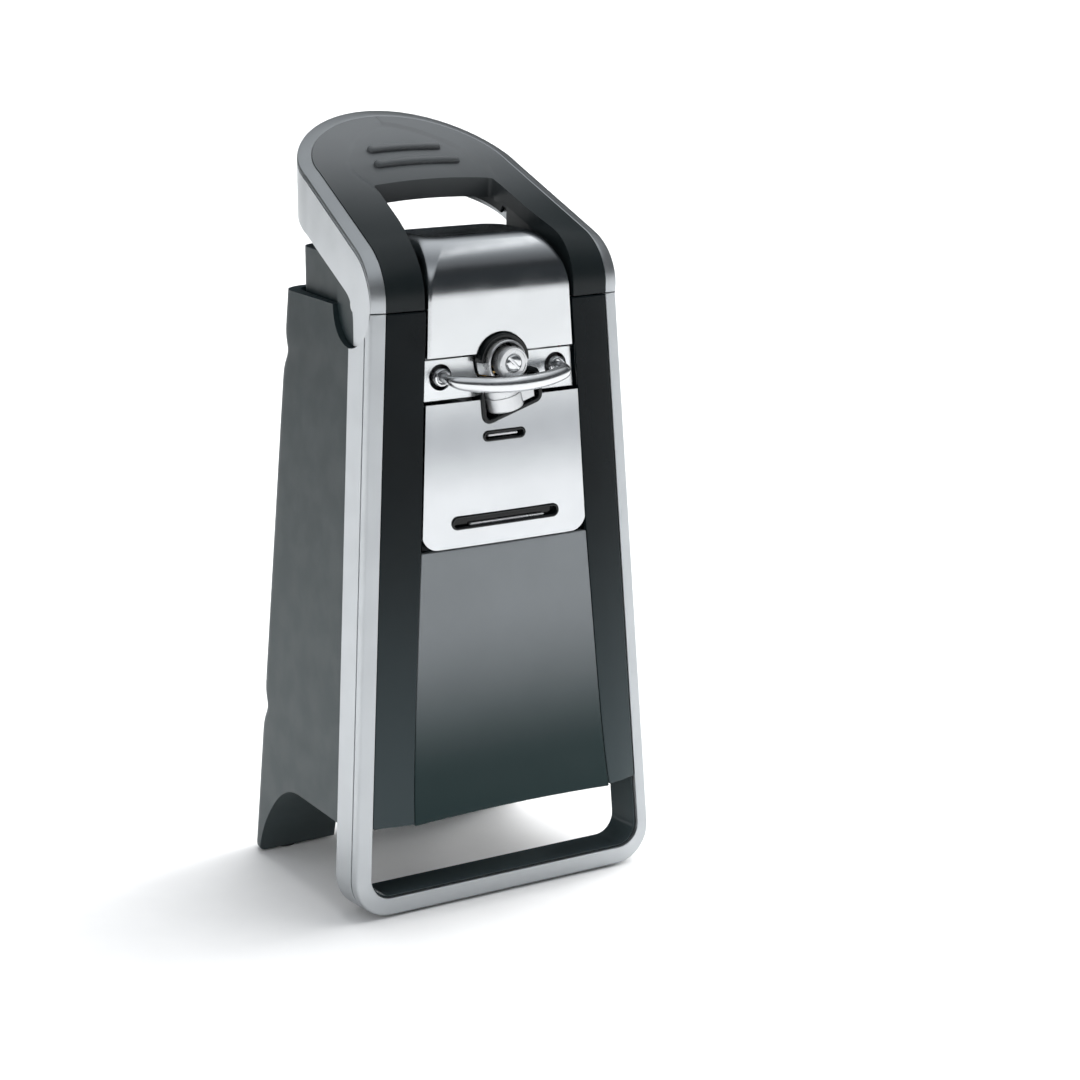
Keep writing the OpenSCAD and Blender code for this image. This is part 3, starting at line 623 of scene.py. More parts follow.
def pocket_outline(grow):
    """The cutting wheel's tilted pocket, with rounded corners."""
    corners = [(-7.4, 179.6), (14.6, 186.2), (13.4, 195.6), (-8.4, 193.6)]
    out = []
    for i, c in enumerate(corners):
        before, after = Vector(corners[i - 1]), Vector(corners[(i + 1) % 4])
        here = Vector(c)
        a, b = (before - here).normalized(), (after - here).normalized()
        bisect = (a + b).normalized()
        half = a.angle(b) / 2
        r = 1.5 + grow
        start = here - bisect * grow / math.sin(half)
        centre = start + bisect * r / math.sin(half)
        a0 = math.atan2(*reversed((start + a * r / math.tan(half) - centre)[:]))
        a1 = math.atan2(*reversed((start + b * r / math.tan(half) - centre)[:]))
        turn = (a1 - a0 + math.pi) % math.tau - math.pi
        angles = [a0 + turn * k / 6 for k in range(7)]
        out += [(centre.x + r * math.cos(a), centre.y + r * math.sin(a)) for a in angles]
    return out


def face_plate():
    rows, cols = 30, 28
    margin, radius = 0.42, 6.5

    def spot(i, j):
        t = 2 * j / cols - 1
        h = PLATE_Z0 + (PLATE_Z1 - PLATE_Z0) * i / rows
        x = (band_inner(h + 0.01) - margin) * t
        return x, h, plate_depth(x), plate_depth(x) + 1.1

    obj = front_slab("plate", rows, cols, spot)
    w0, w1 = band_inner(PLATE_Z0) - margin, band_inner(PLATE_Z1 - 0.01) - margin
    outline = arc(w0 - radius, PLATE_Z0 + radius, radius, -90, 0, 10) + [(w1, PLATE_Z1 + 3)]
    outline += [(-w1, PLATE_Z1 + 3)] + arc(radius - w0, PLATE_Z0 + radius, radius, 180, 270, 10)
    keep(obj, through_front(outline))
    for hole in (stadium(*UPPER_SLOT), stadium(*LOWER_SLOT), pocket_outline(POCKET_RIM)):
        cut(obj, through_front(hole))
    soften(obj, 0.28, 3)
    return finish(shade(obj, 30), "steel_face_plate", "body", "satin_steel", "face_plate",
                  finish_as="plate_steel")


def ring_on_front(name, outer, inner, d_front, d_back, crown=0.35):
    """A raised rim between two outlines, with a rounded front."""
    section = [(0, d_back), (0, d_front + crown), (0.15, d_front + 0.1), (0.5, d_front),
               (0.85, d_front + 0.1), (1, d_front + crown), (1, d_back)]
    rows = []
    for (x0, h0), (x1, h1) in zip(outer, inner):
        rows.append([lean_at(x0 + (x1 - x0) * s, d, h0 + (h1 - h0) * s) for s, d in section])
    return loft(name, rows, closed_rows=True)


def slot_trim(name, spot, replaced):
    """The dark rim and floor of one slot."""
    z, length, height = spot
    outer = stadium(z, length + 0.1, height + 0.1)
    inner = stadium(z, length - 2.0, height - 2.0)
    obj = ring_on_front(name, outer, inner, -3.95, -0.6)
    add(obj, through_front(stadium(z, length - 1.2, height - 1.2), -1.4, -0.4))
    finish(shade(obj, 50, False), name, "body", "black_trim", replaced)


def slot_bar(x, z, length):
    """A thin bright bar that lies in a slot."""
    outline = [(px + x, pz) for px, pz in stadium(z, length, 1.0, 8)]
    return soften(through_front(outline, -2.6, -1.2), 0.2, 3)


def slot_trims():
    slot_trim("upper_slot_rim", UPPER_SLOT, "upper_slot_trim")
    slot_trim("lower_slot_rim", LOWER_SLOT, "lower_slot_trim")
    bars = add(slot_bar(0, UPPER_SLOT[0], 12.6), slot_bar(1.2, LOWER_SLOT[0] - 1.1, 31.6))
    finish(shade(bars, 50, False), "slot_bright_bars", "body", "satin_steel", "slot_bars",
           finish_as="bright_steel")


def strip():
    top = STRIP_Z1 - 0.6
    outline = [(-31.7, STRIP_Z0), (31.7, STRIP_Z0), (30.9, top), (-30.9, top)]
    obj = through_front(outline, -0.35, 0.9)
    holes = [arc(x, LOOP_Z, 4.7, 0, 360, 40)[:-1] for x in (-LOOP_X, LOOP_X)]
    holes += [arc(0, DRIVE.z, 10.5, 0, 360, 64)[:-1], pocket_outline(POCKET_RIM)]
    for hole in holes:
        cut(obj, through_front(hole))
    soften(obj, 0.2, 3)
    return finish(shade(obj, 30), "steel_strip", "body", "satin_steel", "mechanism_strip")


def pocket():
    obj = ring_on_front("pocket", pocket_outline(1.8), pocket_outline(0), -4.3, 2.4, 0.5)
    cut(obj, lathe("tool", at(0, -20, DRIVE.z), (0, 1, 0), [(0, 10.7), (32, 10.7)], 64))
    return finish(shade(obj, 45), "wheel_pocket", "body", "black_trim", "cutter_pocket")


CONE_BACK = 4.4
CAP_BACK = 12


def below_drive(back, drop):
    """The space in front of a depth and below a height under the drive's axis."""
    return block(-20, 20, -8, back, 180, DRIVE.z - drop)


def drive_surround():
    """The dark cap in the hood's notch, and the bright cone in front of it."""
    centre = at(0, 0, DRIVE.z)
    forward = (0, -1, 0)
    profile = [(-15, 10.2), (-1.0, 10.2), (-0.6, 10.05), (-0.4, 9.7), (-0.5, 8.6), (-0.9, 8.1),
               (-1.6, 8.0), (-15, 8.0)]
    cap = lathe("cap", centre, forward, profile, 96, True)
    cut(cap, below_drive(CONE_BACK, 0), below_drive(CAP_BACK, 4.5))
    disc = lathe("disc", centre, forward, [(-7, 3.4), (-6, 3.4), (-6, 8.3), (-7, 8.3)], 64, True)
    cut(disc, below_drive(CAP_BACK, 4.3))
    add(cap, disc)
    finish(shade(cap, 40), "drive_dark_cap", "body", "black_trim", "drive_cap")

    profile = [(-CONE_BACK, 9.8), (-3.6, 9.85), (0.9, 7.95), (1.3, 7.7), (1.4, 7.4), (1.2, 7.1),
               (0.6, 6.95), (-CONE_BACK, 6.9)]
    cone = lathe("cone", centre, forward, profile, 96, True)
    under_cap = lathe("tool", centre, forward, [(-13, 7.95), (3, 7.95), (3, 14), (-13, 14)], 96, True)
    cut(under_cap, below_drive(14, 0.2))
    cut(cone, under_cap, below_drive(CAP_BACK, 4.5))
    finish(shade(cone, 40), "drive_bright_cone", "body", "bright_steel", "drive_cone")


# ---------------------------------------------------------------- hood

def rounded_ring(x0, x1, y0, y1, radius):
    """A rectangle with round corners, as (x, y) points with the same count at any size."""
    n, side = 7, 6
    corners = [(x1 - radius, y0 + radius, -90), (x1 - radius, y1 - radius, 0),
               (x0 + radius, y1 - radius, 90), (x0 + radius, y0 + radius, 180)]
    out = []
    for i, (cx, cy, a0) in enumerate(corners):
        out += arc(cx, cy, radius, a0, a0 + 90, n)
        nx, ny, na = corners[(i + 1) % 4]
        start, end = Vector(out[-1]), Vector(arc(nx, ny, radius, na, na, 1)[0])
        out += [tuple(start.lerp(end, k / side)) for k in range(1, side)]
    return out


HOOD_TOP = to_mm(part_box("motor_hood")[1]).z
HOOD_BACK = 57.0
# How far the dome rises, draws in at the front and back, and the share of that at the sides
DOME = 21.0
DOME_IN = 15.5
SIDE_SHARE = 0.55


def hood_solid(name, inset, bottom):
    """The hood's box with a domed top, inset from its outer faces."""
    rows = []
    shoulder = HOOD_TOP - DOME
    straight = [bottom + (shoulder - bottom) * i / 8 for i in range(8)]
    levels = [(z, 0.0) for z in straight] + [(shoulder, math.pi / 2 * i / 14) for i in range(15)]
    for z, turn in levels:
        shrink = (1 - math.cos(turn)) * (DOME_IN - inset)
        half = 30.95 - 0.052 * (min(z, shoulder) - STRIP_Z1) - inset - shrink * SIDE_SHARE
        front = front_y(z) - 3.0 + inset + shrink
        back = HOOD_BACK - inset - shrink
        radius = 1.6 + 6 * math.sin(turn) ** 2 - 0.4 * inset
        height = z + (DOME - inset) * math.sin(turn)
        rows.append([at(x, y, height) for x, y in rounded_ring(-half, half, front, back, radius)])
    middle = at(0, (front + back) / 2, HOOD_TOP - inset)
    top_ring = rows[-1]
    for share, drop in ((0.75, 0.13), (0.5, 0.05), (0.25, 0)):
        rows.append([middle + (p - middle) * share - Vector((0, 0, drop * MM)) for p in top_ring])
    return loft(name, rows)


def hood():
    obj = hood_solid("hood", 0, STRIP_Z1 + 0.4)
    cut(obj, hood_solid("tool", 1.8, STRIP_Z1 - 4))
    cut(obj, lathe("tool", at(0, -12, DRIVE.z), (0, 1, 0), [(0, 10.6), (26, 10.6)], 96))
    for x0, x1 in ((27, 33), (-33, -27)):
        cut(obj, block(x0, x1, 7.4, 16, 200, 208))
    soften(obj, 0.35, 3, 50)
    return finish(shade(obj, 44), "steel_hood", "body", "satin_steel", "motor_hood",
                  finish_as="hood_steel")


# ---------------------------------------------------------------- rear housing

REAR_Y0 = 98.2
REAR_DRAFT = 13.2 / JOINT_Z
FLOOR_Z = 33.0
FOOT_ROUND = 2.2
REAR_SLOPE = math.atan(REAR_DRAFT)
WALL = 2.5
DIPS = (58.4, 197.6)


def dip(z):
    """Two shallow finger grooves across the back."""
    return sum(2.5 * math.exp(-((z - c) / 4.6) ** 2) for c in DIPS)


def back_at(x, d, h):
    """A point at depth d inside the sloping back and height h along it."""
    y = REAR_Y0 - h * math.sin(REAR_SLOPE) - d * math.cos(REAR_SLOPE)
    return at(x, y, h * math.cos(REAR_SLOPE) - d * math.sin(REAR_SLOPE))


def housing_ring(z, inset, ahead):
    """The housing's outline at a height: sides, round rear corners, and a straight front."""
    if inset == 0 and 0 <= z < FOOT_ROUND:
        inset = FOOT_ROUND - math.sqrt(FOOT_ROUND ** 2 - (FOOT_ROUND - z) ** 2)
    radius = 10 + 2 * z / JOINT_Z - inset
    back = REAR_Y0 - REAR_DRAFT * z - dip(z) - inset
    half = 59 - 11.5 * z / JOINT_Z - inset
    wide = half_width(z) - 0.6 - inset
    front = front_y(z) + TRIM_DEPTH + 0.1 - ahead
    cx, cy = half - radius, back - radius
    away = math.hypot(wide - cx, front - cy)
    start = math.degrees(math.atan2(front - cy, wide - cx) + math.acos(radius / away))
    corner = arc(cx, cy, radius, start, 90, 12)
    cx0, cy0 = corner[0]
    side = [(wide + (cx0 - wide) * i / 12, front + (cy0 - front) * i / 12) for i in range(12)]
    half_ring = side + corner
    rear = [(cx * (1 - 2 * i / 12), back) for i in range(1, 12)]
    return half_ring + rear + [(-x, y) for x, y in reversed(half_ring)]


def housing_solid(name, inset, z0, z1, ahead=0.0):
    heights = sorted({round(z0 + (z1 - z0) * i / 40, 3) for i in range(41)}
                     | {c + k * 1.6 for c in DIPS for k in range(-6, 7)} | {0.15, 0.4, 0.8, 1.4, 2.2})
    heights = [z for z in heights if z0 <= z <= z1]
    return loft(name, [[at(x, y, z) for x, y in housing_ring(z, inset, ahead)] for z in heights])


def arch_curve(thick):
    """Side view of the space under the body, arched in front of the rear leg."""
    points = [(88.4, -1), (87.7, 2), (85.8, 8), (82.6, 14), (78, 20), (72.5, 25.4), (66, 29.7),
              (59, 32.3), (52, FLOOR_Z)]
    out = []
    for i, (y, z) in enumerate(points):
        before, after = points[max(i - 1, 0)], points[min(i + 1, len(points) - 1)]
        along = Vector((after[0] - before[0], after[1] - before[1])).normalized()
        out.append((y + along.y * thick, z - along.x * thick))
    return spline(out, 3)


def skirt_outline(inset, end, corner=9.0):
    """Plan of the lever's lower tier, open at the front, with round rear corners."""
    radius = corner + inset / 2
    wide = 51.7 - 0.105 * (end - 6) - inset
    front = 51.7 - inset
    right = [(front + (wide - front) * i / 8, 6 + (end - radius - 6) * i / 8) for i in range(8)]
    right += arc(wide - radius, end - radius, radius, 0, 90, 14)
    return right + [(-x, y) for x, y in reversed(right)]


# The rear cover's heights along the back, and its half widths at them
COVER_Z0, COVER_Z1 = 60.0, 198.0
COVER_LOW, COVER_HIGH = 41, 35.5


def cover_outline(grow):
    half = [(COVER_LOW + grow, COVER_Z0 - grow), (COVER_HIGH + grow, COVER_Z1 + grow)]
    return [(-half[0][0], half[0][1])] + half + [(-half[1][0], half[1][1])]


def into_back(outline, d0, d1):
    """A prism square to the back, from an outline of (x, height) points."""
    return prism(outline, lambda x, h, d: back_at(x, d, h), d0, d1)


# Places of the screws in the back: x and height
SCREWS = [(44, 46), (-44, 46), (39, 207), (-39, 207)]


def rear_housing():
    obj = housing_solid("housing", 0, 0, JOINT_Z - GAP)
    cavity = housing_solid("tool", WALL, -3, JOINT_Z - WALL - GAP, 3)
    raised = arch_curve(WALL)
    raised = [(54, -20), (raised[0][0], -20)] + raised[:-1] + [(54, FLOOR_Z + WALL)]
    cut(cavity, along_x(raised, -WIDE, WIDE))
    cut(obj, cavity)
    cut(obj, along_x([(-20, -9), (88.6, -9)] + arch_curve(0) + [(-20, FLOOR_Z)], -WIDE, WIDE))
    well = along_z(skirt_outline(0.6, 81.6), JOINT_Z - 30, JOINT_Z + 10)
    cut(well, block(-WIDE, WIDE, -20, 28, 150, 260))
    cut(obj, well, block(-HUB_X, HUB_X, TRIM_DEPTH - 2, 30, JOINT_Z - 6, JOINT_Z + 10))
    leg_arch = [(-26, -5)] + arc(-18, 6, 8, 180, 90, 8) + arc(18, 6, 8, 90, 0, 8) + [(26, -5)]
    cut(obj, along_y(leg_arch, 80, 120))
    cut(obj, into_back(cover_outline(0.2), -1, 7))
    for spot in SCREWS:
        cut(obj, into_back(arc(*spot, 3.9, 0, 360, 32)[:-1], -1, 1.0))
    hub_cut(obj)
    soften(obj, 0.6, 3, 34)
    return finish(shade(obj, 40), "charcoal_housing", "body", "charcoal_plastic", "rear_housing")


def bay_outline(grow):
    """The scissors bay in the rear cover: a slot for the blades under a wider one for the loops."""
    right = arc(9, 71, 5 + grow, -90, 0) + [(14 + grow, 108)]
    right += [(14 + grow + 14 * smooth_step(t / 6), 108 + 26 * t / 6) for t in range(1, 6)]
    right += [(28 + grow, 134)] + arc(22, 186, 6 + grow, 0, 90)
    return right + [(-x, z) for x, z in reversed(right)]


def rear_cover():
    front, back = [], []
    rows, cols = 60, 30
    for i in range(rows + 1):
        h = COVER_Z0 + 0.2 + (COVER_Z1 - COVER_Z0 - 0.4) * i / rows
        half = COVER_LOW - (COVER_LOW - COVER_HIGH) * (h - COVER_Z0) / (COVER_Z1 - COVER_Z0) - 0.2
        flat = dip(h)
        front.append([back_at(half * (2 * j / cols - 1), 0.35 + flat, h) for j in range(cols + 1)])
        back.append([back_at(half * (2 * j / cols - 1), WALL + flat, h) for j in range(cols + 1)])
    obj = slab("cover", front, back)
    add(obj, into_back(bay_outline(1.8), 1.2, 11))
    cut(obj, into_back(bay_outline(0), -2, 9.2))
    soften(obj, 0.55, 3, 40)
    return finish(shade(obj, 42), "charcoal_rear_cover", "body", "charcoal_plastic", "rear_cover")


def back_screws():
    """Cross-head screws, on shanks that start inside the back."""
    profile = [(0, 1.7), (7.6, 1.7), (8.1, 3.35), (8.7, 3.3), (9.2, 2.6), (9.45, 1.4), (9.5, 0)]
    out = None
    for x, h in SCREWS:
        start = back_at(x, 9, h)
        outward = (back_at(x, 0, h) - back_at(x, 1, h)).normalized()
        head = lathe("screw", start, outward, profile, 40)
        for wide, tall in ((4.2, 0.8), (0.8, 4.2)):
            corners = [(x - wide / 2, h - tall / 2), (x + wide / 2, h - tall / 2),
                       (x + wide / 2, h + tall / 2), (x - wide / 2, h + tall / 2)]
            cut(head, into_back(corners, -2, 0.9))
        out = head if out is None else add(out, head)
    return finish(shade(out, 35), "back_cover_screws", "body", "plain_steel", "housing_screws")


def feet():
    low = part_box("rubber_feet")[0]
    out = None
    for x, y in ((46, 8), (-46, 8), (46, 92.3), (-46, 92.3)):
        spot = at(x, y, 0)
        foot = lathe("foot", Vector((spot.x, spot.y, low.z)), (0, 0, 1),
                     [(0, 2.2), (0, 3.7), (0.12, 4.0), (0.4, 4.2), (0.79, 4.2), (0.79, 2)], 40)
        out = foot if out is None else add(out, foot)
    return finish(shade(out, 40), "rubber_foot_pads", "body", "rubber", "rubber_feet")


# ---------------------------------------------------------------- lever

# The crown across the lever, the radius of its front, where its plan starts to round and ends, the
# steps along the slope and around the end, and how far the band hangs down
CROWN_R = 290.0
CROWN_H = 3.6
FRONT_R = 20.0
PLAN_TURN = 64.0
PLAN_END = 98.5
SLOPE_ROWS = 30
END_ROWS = 26
DROP = 21.4
FRONT_Y = front_y(JOINT_Z)


def line_z(y):
    """Height of the lever's sloping top line."""
    return 247.5 + (y - 28) * math.tan(RISE)


def low_z(y):
    return line_z(y) - DROP


def side_x(y):
    """Half width of the lever on its straight sides."""
    return 51.7 - 0.105 * (y - 6)


def crown_drop(x):
    return CROWN_R - math.sqrt(CROWN_R ** 2 - x * x)


ARC_Y = FRONT_Y + FRONT_R
ARC_Z = line_z(ARC_Y) - FRONT_R / math.cos(RISE)
ARC_END = 90 + math.degrees(RISE)
JOINT_TOP = JOINT_Z + GAP / 2
# The band's lower edge turns from the hub into the slope on this radius, about this height
TURN_R = 11
TURN_Z = low_z(HUB.y + TURN_R) - TURN_R / math.cos(RISE)


def top_line():
    """Side view of the lever's top: points, outward normals, and how far the crown has set in."""
    out = [((FRONT_Y, JOINT_TOP + (ARC_Z - JOINT_TOP) * i / 2), (-1.0, 0.0), 0.0) for i in range(2)]
    for i in range(15):
        a = 180 + (ARC_END - 180) * i / 14
        n = (math.cos(math.radians(a)), math.sin(math.radians(a)))
        crown = smooth_step((180 - a) / (180 - ARC_END))
        out.append(((ARC_Y + FRONT_R * n[0], ARC_Z + FRONT_R * n[1]), n, crown))
    n = (-math.sin(RISE), math.cos(RISE))
    y0 = out[-1][0][0]
    for i in range(1, SLOPE_ROWS + 1):
        y = y0 + (PLAN_TURN - y0) * i / SLOPE_ROWS
        out.append(((y, line_z(y)), n, 1.0))
    return out


def bottom_line(count):
    """Side view of the band's lower edge: the hub's front half, up behind it, and along the slope."""
    start = 180 + math.degrees(math.asin((HUB.z - JOINT_TOP) / HUB_R))
    out = arc(HUB.y, HUB.z, HUB_R, start, 270, 9)
    out += [(HUB.y, out[-1][1] + (TURN_Z - out[-1][1]) * k / 3) for k in (1, 2)]
    out += arc(HUB.y + TURN_R, TURN_Z, TURN_R, 180, ARC_END, 6)
    y0, rest = out[-1][0], count - len(out)
    slope = [y0 + (PLAN_TURN - y0) * i / rest for i in range(1, rest + 1)]
    return out + [(y, low_z(y)) for y in slope]


def rim_level(crown):
    """How far the rim's inner edge stands above its outer one."""
    return 1.3 - 0.8 * crown


def band_row_side(top, normal, crown, low):
    """Points of one cross-section of the band on its straight side, as a function of inset and depth."""
    down = Vector((low[0] - top[0], low[1] - top[1]))
    length = down.length
    down.normalize()

    def point(inset, depth, level=0.0):
        depth = min(depth, length * 0.75) if depth < 99 else length
        x = side_x(top[0] + down.x * depth) - inset
        rise = level + (crown * (CROWN_H - crown_drop(x)) if depth < 2 else 0)
        return at(x, top[0] + down.x * depth + normal[0] * rise, top[1] + down.y * depth + normal[1] * rise)
    return point


def band_row_end(angle):
    """The same around the band's round rear end."""
    a, b = side_x(PLAN_TURN), PLAN_END - PLAN_TURN
    x0, y0 = a * math.cos(angle), PLAN_TURN + b * math.sin(angle)
    inward = -Vector((math.cos(angle) / a, math.sin(angle) / b)).normalized()

    def point(inset, depth, level=0.0):
        x, y = x0 + inward.x * inset, y0 + inward.y * inset
        if depth >= 99:
            return at(x, y, low_z(y))
        rise = (level + (CROWN_H - crown_drop(x) if depth < 2 else 0)) / math.cos(RISE)
        return at(x, y, line_z(y) - depth + rise)
    return point


# The band's outer face as inset and depth, with its groove and its rounded top edge
BAND_SECTION = [(0, 14), (0, 8), (0, 1.95), (0.6, 1.85), (0.6, 1.35), (0.06, 1.2), (0.14, 0.6),
                (0.38, 0.18), (0.8, 0.02)]


def band_ring(point, crown):
    ring = [point(0.25, 99), point(0, 99)] + [point(i, d) for i, d in BAND_SECTION]
    top = rim_level(crown)
    ring += [point(RIM * s, 0, top * s) for s in (0.4, 0.7, 0.92)]
    ring += [point(RIM - 0.1, 0.25, top), point(RIM, 0.7, top), point(RIM, 5), point(RIM, 12), point(RIM, 99)]
    return ring


def mirrored(points):
    return [Vector((-p.x, p.y, p.z)) for p in points]


def around_lever(name, side, end):
    """A skin around the lever, from its right side's rings, around the rear end, to the left side."""
    half = side + end
    return loft(name, half + [mirrored(r) for r in reversed(half[:-1])])


def end_angles():
    return [math.pi / 2 * i / END_ROWS for i in range(1, END_ROWS + 1)]


def side_stations():
    """The lever's straight side, as a point, normal and crown of its top and a point of its lower edge."""
    tops = top_line()
    return [(*top, low) for top, low in zip(tops, bottom_line(len(tops)))]


def lever_band():
    side = [band_ring(band_row_side(*station), station[2]) for station in side_stations()]
    end = [band_ring(band_row_end(a), 1.0) for a in end_angles()]
    obj = around_lever("band", side, end)
    return finish(shade(obj, 34), "silver_lever_band", "lever", "silver_trim", "lever_band")


def cover_half(y):
    """Half width of the cover where it meets the rim."""
    if y <= PLAN_TURN:
        return side_x(y) - RIM - 0.15
    t = (y - PLAN_TURN) / (PLAN_END - PLAN_TURN - RIM - 0.15)
    return (side_x(PLAN_TURN) - RIM - 0.15) * math.sqrt(max(0.0, 1 - t * t))


BAR_EXTRA = 1.7


def recess(x, y):
    """Depth of the shallow arched recess around the ridges."""
    past = max(0.0, (y - 60) / 28)
    half = (25.3 + 3.1 * smooth_step((y - 50) / 12)) * max(0.0, 1 - past ** 1.5) ** 0.667
    return 0.6 * smooth_step((half - abs(x)) / 2.4 + 0.5) * smooth_step((y - 46) / 3)


def cover_rows(lower, dent=0.0):
    """Grid of the cover's surface, sunk below its top by lower, with the recess if dent is 1.

    The lower surface hangs down further under the bar behind the window.
    """
    rows = []
    cols = 84
    for (y, z), n, crown in top_line():
        row = []
        for j in range(cols + 1):
            x = cover_half(y) * (2 * j / cols - 1)
            inner = min(1.0, (cover_half(y) - abs(x)) / 15)
            level = rim_level(crown) - 0.1 + (1 - crown) * 1.25 * inner
            level += crown * (CROWN_H - crown_drop(x))
            level -= lower + dent * recess(x, y)
            if lower:
                level -= BAR_EXTRA * smooth_step((7 - abs(y - 49.5)) / 3)
            row.append(at(x, y + n[0] * level, z + n[1] * level))
        rows.append(row)
    reach = PLAN_END - PLAN_TURN - RIM - 0.15
    for i in range(1, 31):
        a = math.radians(88.5) * i / 30
        y = PLAN_TURN + reach * math.sin(a)
        half = cover_half(PLAN_TURN) * math.cos(a)
        spread = [half * (2 * j / cols - 1) for j in range(cols + 1)]
        rows.append([cover_point(x, y, -lower - dent * recess(x, y)) for x in spread])
    return rows


def cover_point(x, y, lift):
    """A point of the cover's top behind its front bend, lifted along the normal."""
    rise = (rim_level(1.0) - 0.1 + CROWN_H - crown_drop(x) + lift) / math.cos(RISE)
    return at(x, y, line_z(y) + rise)


CROSS_Y = 50.6
FLANGE_X = 31.5
FLANGE_T = 1.7
FLANGE_R = 18.4


def window_outline():
    """Plan of the opening over the hood, narrowing towards the bar behind it."""
    right = [(31.3, -20), (31.3, 2), (31.25, 8), (30.8, 13), (29.9, 17), (28.7, 22), (27.6, 28),
             (26.9, 34), (26.2, 40), (25.5, 46)]
    right += arc(23.6, CROSS_Y - 1.8, 1.8, 0, 90, 6)
    return right + [(-x, y) for x, y in reversed(right)]


def grip_ridge(y, half):
    """A raised bar across the cover, with rounded ends."""
    rows = []
    stations = 44
    for i in range(stations + 1):
        x = half * math.sin(math.pi / 2 * (2 * i / stations - 1))
        end = min(1.0, math.sqrt(max(0.0, 1 - max(0.0, (abs(x) - half + 2.0) / 2.0) ** 2)) + 0.02)
        base = cover_point(x, y, 0)
        ring = []
        for k in range(16):
            a = math.tau * k / 16
            along, up = 2.0 * end * math.cos(a), 1.55 * end * math.sin(a)
            ring.append(base + Vector((0, along * math.cos(RISE) - up * math.sin(RISE),
                                       along * math.sin(RISE) + up * math.cos(RISE))) * MM)
        rows.append(ring)
    return loft("ridge", rows)


def flange(side):
    """The cover's inner wall beside the hood."""
    low = JOINT_Z + 1.6
    outline = [(ARC_Y - FLANGE_R, low), (24, low), (50, 238.5)]
    outline += [(y, line_z(y) - 0.6) for y in (50, 30)]
    outline += arc(ARC_Y, ARC_Z, FLANGE_R, ARC_END + 3, 180, 10)
    x0, x1 = sorted((side * FLANGE_X, side * (FLANGE_X + FLANGE_T)))
    return along_x(outline, x0, x1)


def lever_cover():
    obj = slab("cover", cover_rows(0, 1), cover_rows(5.4))
    cut(obj, along_z(window_outline(), 195, 300))
    soften(obj, 0.45, 3, 32)
    add(obj, flange(1), flange(-1))
    for y, half in ((CROSS_Y + 11.2, 18.2), (CROSS_Y + 20.8, 15.6)):
        add(obj, grip_ridge(y, half))
    return finish(shade(obj, 32), "black_lever_cover", "lever", "black_gloss", "lever_cover",
                  finish_as="cover_black")


SKIRT_Z0, SKIRT_Z1 = 214.0, 237.0
SKIRT_END = 79.0
SKIRT_CORNER = 9.5
DECK = 2.2
PIN_HOLE = 3.05


def below_band():
    """The space under the band's lower edge, with a small gap to it."""
    line = [(HUB.y + 0.15, 190)] + arc(HUB.y + TURN_R, TURN_Z, 10.85, 180, ARC_END, 12)
    line += [(110, low_z(110) - 0.15), (110, 190)]
    return along_x(line, -WIDE, WIDE)


def lever_skirt():
    shell = along_z(skirt_outline(1.5, SKIRT_END, SKIRT_CORNER), SKIRT_Z0, SKIRT_Z1)
    cut(shell, along_z(skirt_outline(4, SKIRT_END - 2.5, SKIRT_CORNER - 2), SKIRT_Z0 - 2, SKIRT_Z1 - DECK))
    cut(shell, block(-33, 33, -20, 60, SKIRT_Z0 - 4, SKIRT_Z1 + 4))
    cut(shell, block(-WIDE, WIDE, -20, HUB.y, 190, 260))
    near, far = side_x(6) - 0.2, side_x(60) - 0.2
    for x0, x1 in ((44, 60), (-60, -44)):
        disc = hub_cylinder(x0, x1, HUB_R)
        keep(disc, along_z([(-near, 6), (near, 6), (far, 60), (-far, 60)], 190, 260))
        add(shell, disc)
    keep(shell, below_band())
    soften(shell, 1.1, 4, 40)
    cut(shell, hub_cylinder(-HUB_X, HUB_X, HUB_R))
    cut(shell, hub_cylinder(-49.8, 49.8, PIN_HOLE))
    return finish(shade(shell, 40), "charcoal_skirt", "lever", "charcoal_plastic", "lever_skirt")


LINING = [(0.1, 5), (0.1, 12), (0.1, 19), (0.4, 19.5), (1.3, 19.5), (1.6, 19), (1.6, 12), (1.6, 5)]
LINING_START = 33


def band_lining():
    """The dark wall inside the silver band."""
    def ring(point):
        return [point(RIM + inset, depth) for inset, depth in LINING]

    stations = [station for station in side_stations() if station[0][0] > LINING_START]
    side = [ring(band_row_side(*station)) for station in stations]
    obj = around_lever("lining", side, [ring(band_row_end(a)) for a in end_angles()])
    return finish(shade(obj, 40), "band_lining", "lever", "charcoal_plastic", "lever_skirt")


# ---------------------------------------------------------------- cutting mechanism

# Right half of the loop's path: x, y, z and the bar's radius
LOOP = [(LOOP_X, 14.6, LOOP_Z, 1.6), (LOOP_X, 4.0, LOOP_Z, 1.6), (24.25, 0.6, 196.35, 1.65),
        (23.6, -2.4, 195.9, 1.95), (21.2, -4.9, 195.3, 2.5), (14, -7.1, 194.4, 2.75),
        (7, -8.15, 193.9, 2.85), (0, -8.55, 193.8, 2.9)]


def guide_loop():
    path = LOOP + [(-x, y, z, r) for x, y, z, r in reversed(LOOP[:-1])]
    curve = spline(path, 7)
    obj = tube("loop", [at(*p[:3]) for p in curve], [p[3] for p in curve], 32)
    collar = [(0, 1.2), (0, 3.3), (3.6, 3.3), (4.1, 3.0), (4.2, 2.6), (3.9, 2.2), (3.0, 2.0), (3.0, 1.2)]
    for x in (LOOP_X, -LOOP_X):
        add(obj, lathe("collar", at(x, 7.2, LOOP_Z), (0, -1, 0), collar, 48, True))
    return finish(shade(obj, 50, False), "chrome_guide_loop", "carriage", "chrome", "guide_loop")


